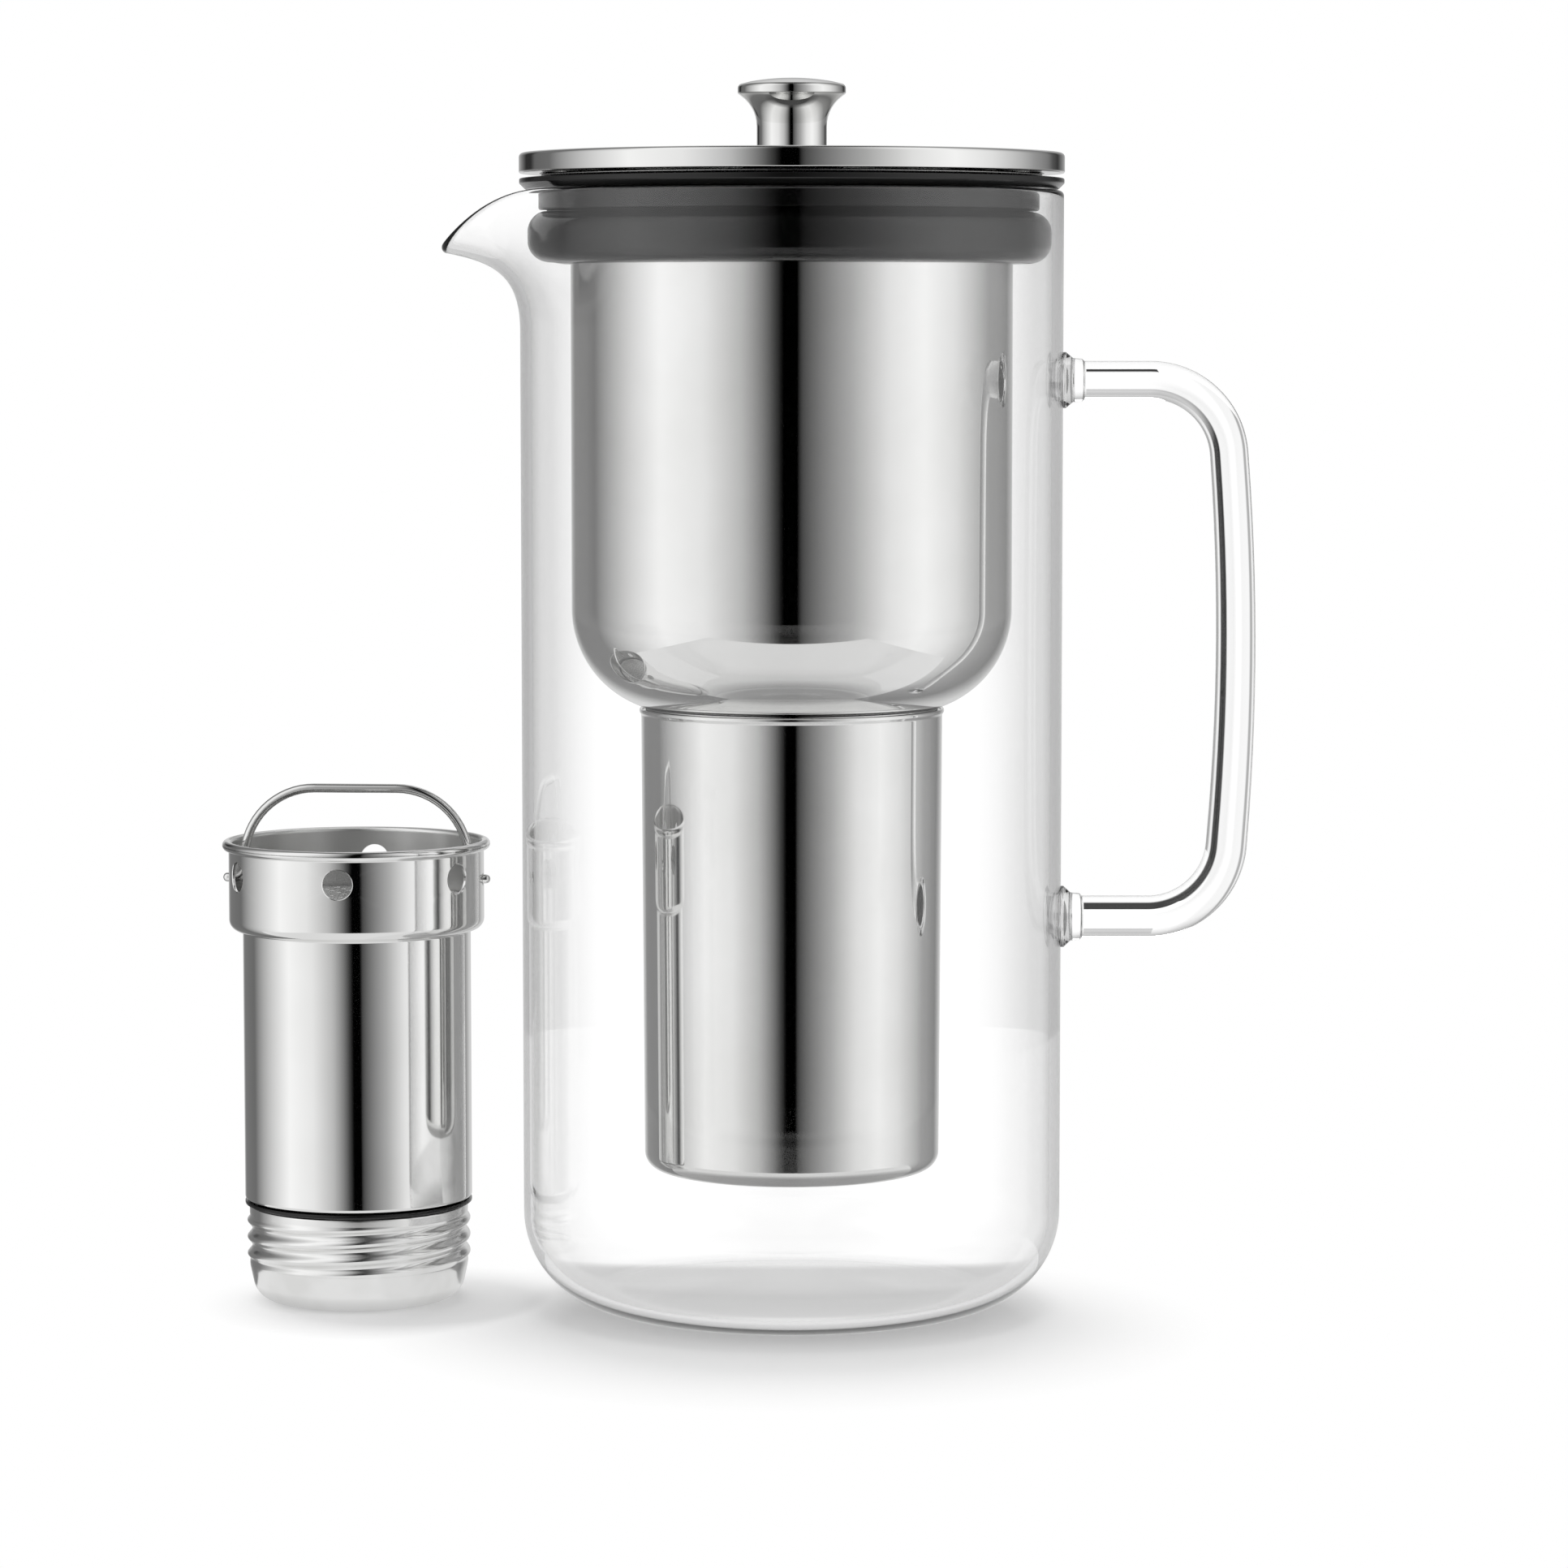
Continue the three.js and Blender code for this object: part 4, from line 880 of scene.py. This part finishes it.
def ring_flag(tree, path, direction, sign):
    """1 in a ring round the view through the handle, on the jug's side, for rays that crossed one
    piece of glass. The ring's bounds are cosines; sign is -1 for a direction back along the ray."""
    aligned = node(tree, "ShaderNodeVectorMath", {0: direction, 1: HANDLE_VIEW * sign},
                   operation="DOT_PRODUCT").outputs["Value"]
    x = axes(tree, direction)["X"]
    ring = times(tree, ease(tree, aligned, *RING_OUTSIDE),
                 ease(tree, aligned, *RING_INSIDE, 1.0, 0.0))
    side = is_over(tree, times(tree, x, sign), JUG_SIDE)
    one_piece = is_under(tree, path["Transmission Depth"], 2.5)
    return times(tree, times(tree, ring, side), one_piece)


# %% Compass ramps
def grey(level):
    """An opaque grey."""
    return (level, level, level, 1)


def blend(tree, share, first, second):
    """A colour between two colours, by a share from 0 to 1."""
    return node(tree, "ShaderNodeMix", {"Factor": share, 6: first, 7: second},
                data_type="RGBA").outputs[2]


def compass_ramp(tree, x, y, stops):
    """A grey level for each compass angle, in degrees from the camera's side to the right."""
    angle = calculate(tree, "ARCTAN2", x, times(tree, y, -1.0))
    ramp = node(tree, "ShaderNodeValToRGB", {"Fac": ease(tree, angle, -np.pi, np.pi)})
    elements = ramp.color_ramp.elements
    while len(elements) < len(stops):
        elements.new(0.5)
    for element, (degrees, level) in zip(elements, stops):
        element.position, element.color = degrees / 360 + 0.5, grey(level)
    return ramp.outputs[0]


PANELS = [
    (-180, 0.65), (-165, 0.65), (-150, 0.2), (-120, 0.16), (-90, 0.7), (-70, 1.05), (-45, 0.9),
    (-25, 0.55), (-9, 0.07), (-5, 0), (3, 0), (5, 0.07), (30, 0.45), (50, 0.87), (70, 1.05),
    (90, 0.85), (120, 0.33), (145, 0.2), (165, 0.65), (180, 0.65),
]
UPPER_PANELS = [
    (-180, 0.45), (-166, 0.38), (-154, 0.14), (-148, 0.03), (-140, 0.03), (-135, 0.13),
    *PANELS[3:-3],
    (134, 0.2), (140, 0.09), (148, 0.04), (155, 0.17), (166, 0.38), (180, 0.45),
]
FLAGS = [
    (-180, 1.1), (-176, 1.1), (-171, 0.95), (-153, 0.95), (-149, 0.4), (-141, 0.4), (-137, 1),
    (-132, 1), (-122, 0.85), (-104, 0.85), (-94, 1.1), (91, 1.1), (100, 0.42), (122, 0.42),
    (131, 0.95), (172, 0.95), (177, 1.1), (180, 1.1),
]
print("stops:", len(PANELS), len(UPPER_PANELS), len(FLAGS))

# %% World
EVEN_LIGHT, CEILING, THROUGH_JUG, RING_DARK = 0.75, 0.5, 0.95, 0.03
CEILING_FROM, RING_FADE = (0.3, 0.8), (0.1, 0.4, 1.0, 0.3)


def studio_world():
    """White to the camera, flags for rays that glass has bent, and an even light for all else."""
    world = bpy.data.worlds.new("studio")
    world.use_nodes = True
    tree = world.node_tree
    tree.nodes.clear()
    direction = node(tree, "ShaderNodeTexCoord").outputs["Generated"]
    x, y, z = axes(tree, direction)
    path = node(tree, "ShaderNodeLightPath").outputs
    returned = calculate(tree, "ADD", path["Glossy Depth"], path["Diffuse Depth"])
    bent = times(tree, path["Is Transmission Ray"], is_under(tree, returned, 0.5))
    through_jug = ease(tree, path["Transmission Depth"], 2.0, 4.0, 0.0, THROUGH_JUG)
    flags = larger(tree, compass_ramp(tree, x, y, FLAGS), through_jug)
    wall = blend(tree, ease(tree, z, *CEILING_FROM), flags, grey(CEILING))
    ring = times(tree, ring_flag(tree, path, direction, 1), ease(tree, z, *RING_FADE))
    behind = blend(tree, ring, wall, grey(RING_DARK))
    room = blend(tree, bent, grey(EVEN_LIGHT), behind)
    seen = blend(tree, path["Is Camera Ray"], room, grey(1))
    background = node(tree, "ShaderNodeBackground", {"Color": seen, "Strength": 1.0})
    node(tree, "ShaderNodeOutputWorld", {"Surface": background.outputs[0]})
    return world


bpy.context.scene.world = studio_world()
print("world nodes:", len(bpy.context.scene.world.node_tree.nodes))

# %% Room
ROOM_RADIUS, DARK_TOP, DARK_TOP_FROM = 1.3, 0.08, (1.18, 1.26)
BAND_FROM, BAND_TO = (0.25, 0.3), (0.5, 0.7)
GLASS_EDGE, ROOM_BACK = 0.64, (0.5, 0.8)


def choose(tree, share, first, second):
    """The first surface where the share is 0, the second where it is 1."""
    return node(tree, "ShaderNodeMixShader", {0: share, 1: first, 2: second}).outputs[0]


def clear_unless(tree, shown, surface):
    """Ends a material with a surface where `shown` is 1, and with nothing where it is 0."""
    clear = node(tree, "ShaderNodeBsdfTransparent").outputs[0]
    node(tree, "ShaderNodeOutputMaterial", {"Surface": choose(tree, shown, clear, surface)})


def empty_material(name):
    """A material with no nodes, and its tree. Its glow is only met by rays, and not aimed at."""
    material = bpy.data.materials.new(name)
    material.use_nodes = True
    material.cycles.emission_sampling = "NONE"
    material.node_tree.nodes.clear()
    return material, material.node_tree


def room_finish():
    """The panels by compass direction, the band above the lid, and the dark top."""
    material, tree = empty_material("studio_room")
    place = node(tree, "ShaderNodeTexCoord").outputs["Object"]
    x, y, z = axes(tree, place)
    path = node(tree, "ShaderNodeLightPath").outputs
    band = times(tree, ease(tree, z, *BAND_FROM), ease(tree, z, *BAND_TO, 1.0, 0.0))
    low, high = [compass_ramp(tree, x, y, stops) for stops in (PANELS, UPPER_PANELS)]
    panels = blend(tree, band, low, high)
    walls = blend(tree, ease(tree, z, *DARK_TOP_FROM), panels, grey(DARK_TOP))
    edge = times(tree, inside_glass(tree, path), ease(tree, y, *ROOM_BACK))
    level = blend(tree, edge, walls, grey(GLASS_EDGE))
    light = node(tree, "ShaderNodeEmission", {"Color": level, "Strength": 1.0}).outputs[0]
    clear_unless(tree, was_mirrored(tree, path), light)
    return material


def stage_piece(name, points, material):
    """A piece of the stage from one turned grid in metres."""
    faces = grid_faces(points.shape, False, True, 0)
    piece, _ = add_mesh(name, points.reshape(-1, 3), faces, material)
    print(f"{name}: {len(faces)} faces")


def sphere_grid(radius, columns=96, rows=49):
    """P(b, a) = radius (cos b cos a, cos b sin a, sin b)."""
    b = np.linspace(-np.pi / 2, np.pi / 2, rows)
    return turned(radius * np.stack([np.cos(b), np.sin(b)], 1), columns)


stage_piece("studio_room", sphere_grid(ROOM_RADIUS), room_finish())

# %% [markdown]
# The table is a white sheet, and it is seen in three ways. The camera sees it with the soft shadow
# round the object, and plain white away from it. Behind glass it is plain, with a painted shadow
# below the jug. In steel it is a white rectangle with painted shadows under the jug and under the
# cartridge, and it is met only by rays that come down steeply or from close by. So the bowl shows a
# bright table below it, and upright steel shows the panels down to its foot.

# %% Table
TABLE_X, TABLE_Y = (-0.32, 0.28), (-0.345, 0.012)
TABLE_RADIUS, TABLE_Z, TABLE_WHITE, TABLE_GLOW = 0.5, -0.0002, 0.66, 0.3
JUG_SHADOW, CAN_SHADOW = ((0, -0.03, 0), 0.055, 0.1), ((-0.094, 0, 0), 0.03, 0.05)
# extent of the painted shadow below the jug, as seen through the glass
PAINTED_SHADOW_HALF_X, PAINTED_SHADOW_HALF_Y, PAINTED_SHADOW_MIDDLE_Y = 0.072, 0.0365, -0.0065
LOW_ARM_Y, LOW_ARM_SIDE = (0.12, 0.27), -0.18
STEEP, CLOSE_BY, WALL_LEVEL = 0.3, 0.125, 0.8


def glow(tree, strength):
    """A white glow of some strength."""
    return node(tree, "ShaderNodeEmission", {"Strength": strength}).outputs[0]


def table_in_view(tree, path, at):
    """Lit and shaded round the object, and plain white away from it."""
    lit = node(tree, "ShaderNodeBsdfDiffuse", {"Color": grey(TABLE_WHITE)}).outputs[0]
    own = glow(tree, times(tree, path["Is Camera Ray"], TABLE_GLOW))
    shaded = node(tree, "ShaderNodeAddShader", {0: lit, 1: own}).outputs[0]
    clear = [ease(tree, distance(tree, at, centre), *ends)
             for centre, *ends in (JUG_SHADOW, CAN_SHADOW)]
    return choose(tree, calculate(tree, "MINIMUM", *clear), shaded, glow(tree, 1.0))


def fourth_power(tree, value, half):
    """(|value| / half)^4."""
    share = calculate(tree, "DIVIDE", calculate(tree, "ABSOLUTE", value), half)
    return calculate(tree, "POWER", share, 4.0)


def table_behind_glass(tree, path, place, x, y, towards):
    """A painted shadow below the jug: the glow is greyer where (x / half width)^4 + (y / half
    depth)^4 is under about 1. The handle's ring shows here too, for the rays of its lower arm."""
    wide = fourth_power(tree, x, PAINTED_SHADOW_HALF_X)
    deep = fourth_power(tree, calculate(tree, "SUBTRACT", y, PAINTED_SHADOW_MIDDLE_Y), PAINTED_SHADOW_HALF_Y)
    # painted shadow: the glow is 0.68 within the jug's footprint and rises to 1.1 outside it
    level = ease(tree, calculate(tree, "ADD", wide, deep), 0.6, 1.5, 0.68, 1.1)
    low_arm = larger(tree, between(tree, y, *LOW_ARM_Y), is_under(tree, towards["X"], LOW_ARM_SIDE))
    ring = times(tree, ring_flag(tree, path, place["Incoming"], -1), low_arm)
    return glow(tree, times(tree, level, ease(tree, ring, 0.0, 1.0, 1.0, 0.05)))


def table_in_steel(tree, path, at, wall_ray):
    """Painted shadows, darker under the jug and under the cartridge, and plain for rays of the
    glass wall.
    """
    # painted shadow of the jug: the mirrored glow falls to 0.35 within 6 cm of its axis
    under_jug = ease(tree, distance(tree, at), 0.06, 0.1, 0.35, 0.8)
    # painted shadow of the cartridge: the mirrored glow falls to 0.5 at its foot
    painted_can_shadow = ease(tree, distance(tree, at, CARTRIDGE_AT * MM), 0.02, 0.036, 0.5, 0.95)
    outside = ease(tree, path["Transmission Depth"], 0.0, 1.0, 0.75, 0.0)
    level = calculate(tree, "MINIMUM", larger(tree, under_jug, outside), painted_can_shadow)
    return choose(tree, wall_ray, glow(tree, level), glow(tree, WALL_LEVEL))


def table_finish():
    """One table for the camera, one behind glass and one in steel, chosen by the kind of ray."""
    material, tree = empty_material("white_table")
    path = node(tree, "ShaderNodeLightPath").outputs
    place = node(tree, "ShaderNodeNewGeometry").outputs
    at = place["Position"]
    x, y, _ = axes(tree, at)
    towards = axes(tree, place["Incoming"])

    to_back = ease(tree, towards["Y"], -0.6, 0.6, 1.0, 0.0)
    under_jug = ease(tree, distance(tree, at), 0.066, 0.075, 1.0, 0.0)
    wall_ray = times(tree, inside_glass(tree, path), larger(tree, to_back, under_jug))
    unmirrored = choose(tree, path["Is Transmission Ray"], table_in_view(tree, path, at),
                        table_behind_glass(tree, path, place, x, y, towards))
    mirrored = was_mirrored(tree, path)
    surface = choose(tree, mirrored, unmirrored, table_in_steel(tree, path, at, wall_ray))

    near = larger(tree, is_over(tree, towards["Z"], STEEP),
                  is_under(tree, path["Ray Length"], CLOSE_BY))
    inside = times(tree, between(tree, x, *TABLE_X), between(tree, y, *TABLE_Y))
    straight = calculate(tree, "SUBTRACT", 1.0, mirrored)
    shown = larger(tree, larger(tree, straight, times(tree, inside, near)), wall_ray)
    clear_unless(tree, shown, surface)
    return material


table_line = np.array([(0, TABLE_Z), (TABLE_RADIUS, TABLE_Z)])
stage_piece("white_table", turned(table_line, 96), table_finish())

# %% Key light
KEY_PLACE, KEY_SIZE, KEY_POWER = (-0.03, 0.3, 1.35), 1.0, 9.0

lamp = bpy.data.lights.new("key", "AREA")
lamp.shape, lamp.size, lamp.energy = "DISK", KEY_SIZE, KEY_POWER
light = bpy.data.objects.new("key", lamp)
light.location = KEY_PLACE
light.rotation_euler = (-Vector(KEY_PLACE)).to_track_quat("-Z", "Y").to_euler()
bpy.context.scene.collection.objects.link(light)
print("key light:", KEY_POWER, "W")

# %% [markdown]
# ## The camera
#
# The photograph was taken from a little above the handle's upper arm with a long lens, so the
# jug's sides stay parallel. The lens and the place come from the jug's proportions and from the
# ellipses at its rim and base.

# %% Camera
camera_data = bpy.data.cameras.new("camera")
camera_data.lens, camera_data.sensor_width = 121.12, 36.0
camera = bpy.data.objects.new("camera", camera_data)
camera.location = (-0.00186, -1.2686, 0.2406)
camera.rotation_euler = (np.radians(84.85), 0, 0)
bpy.context.scene.collection.objects.link(camera)
bpy.context.scene.camera = camera
bpy.context.scene.view_settings.view_transform = "Standard"
print("camera at", tuple(camera.location))

# %% Update the scene
bpy.context.view_layer.update()
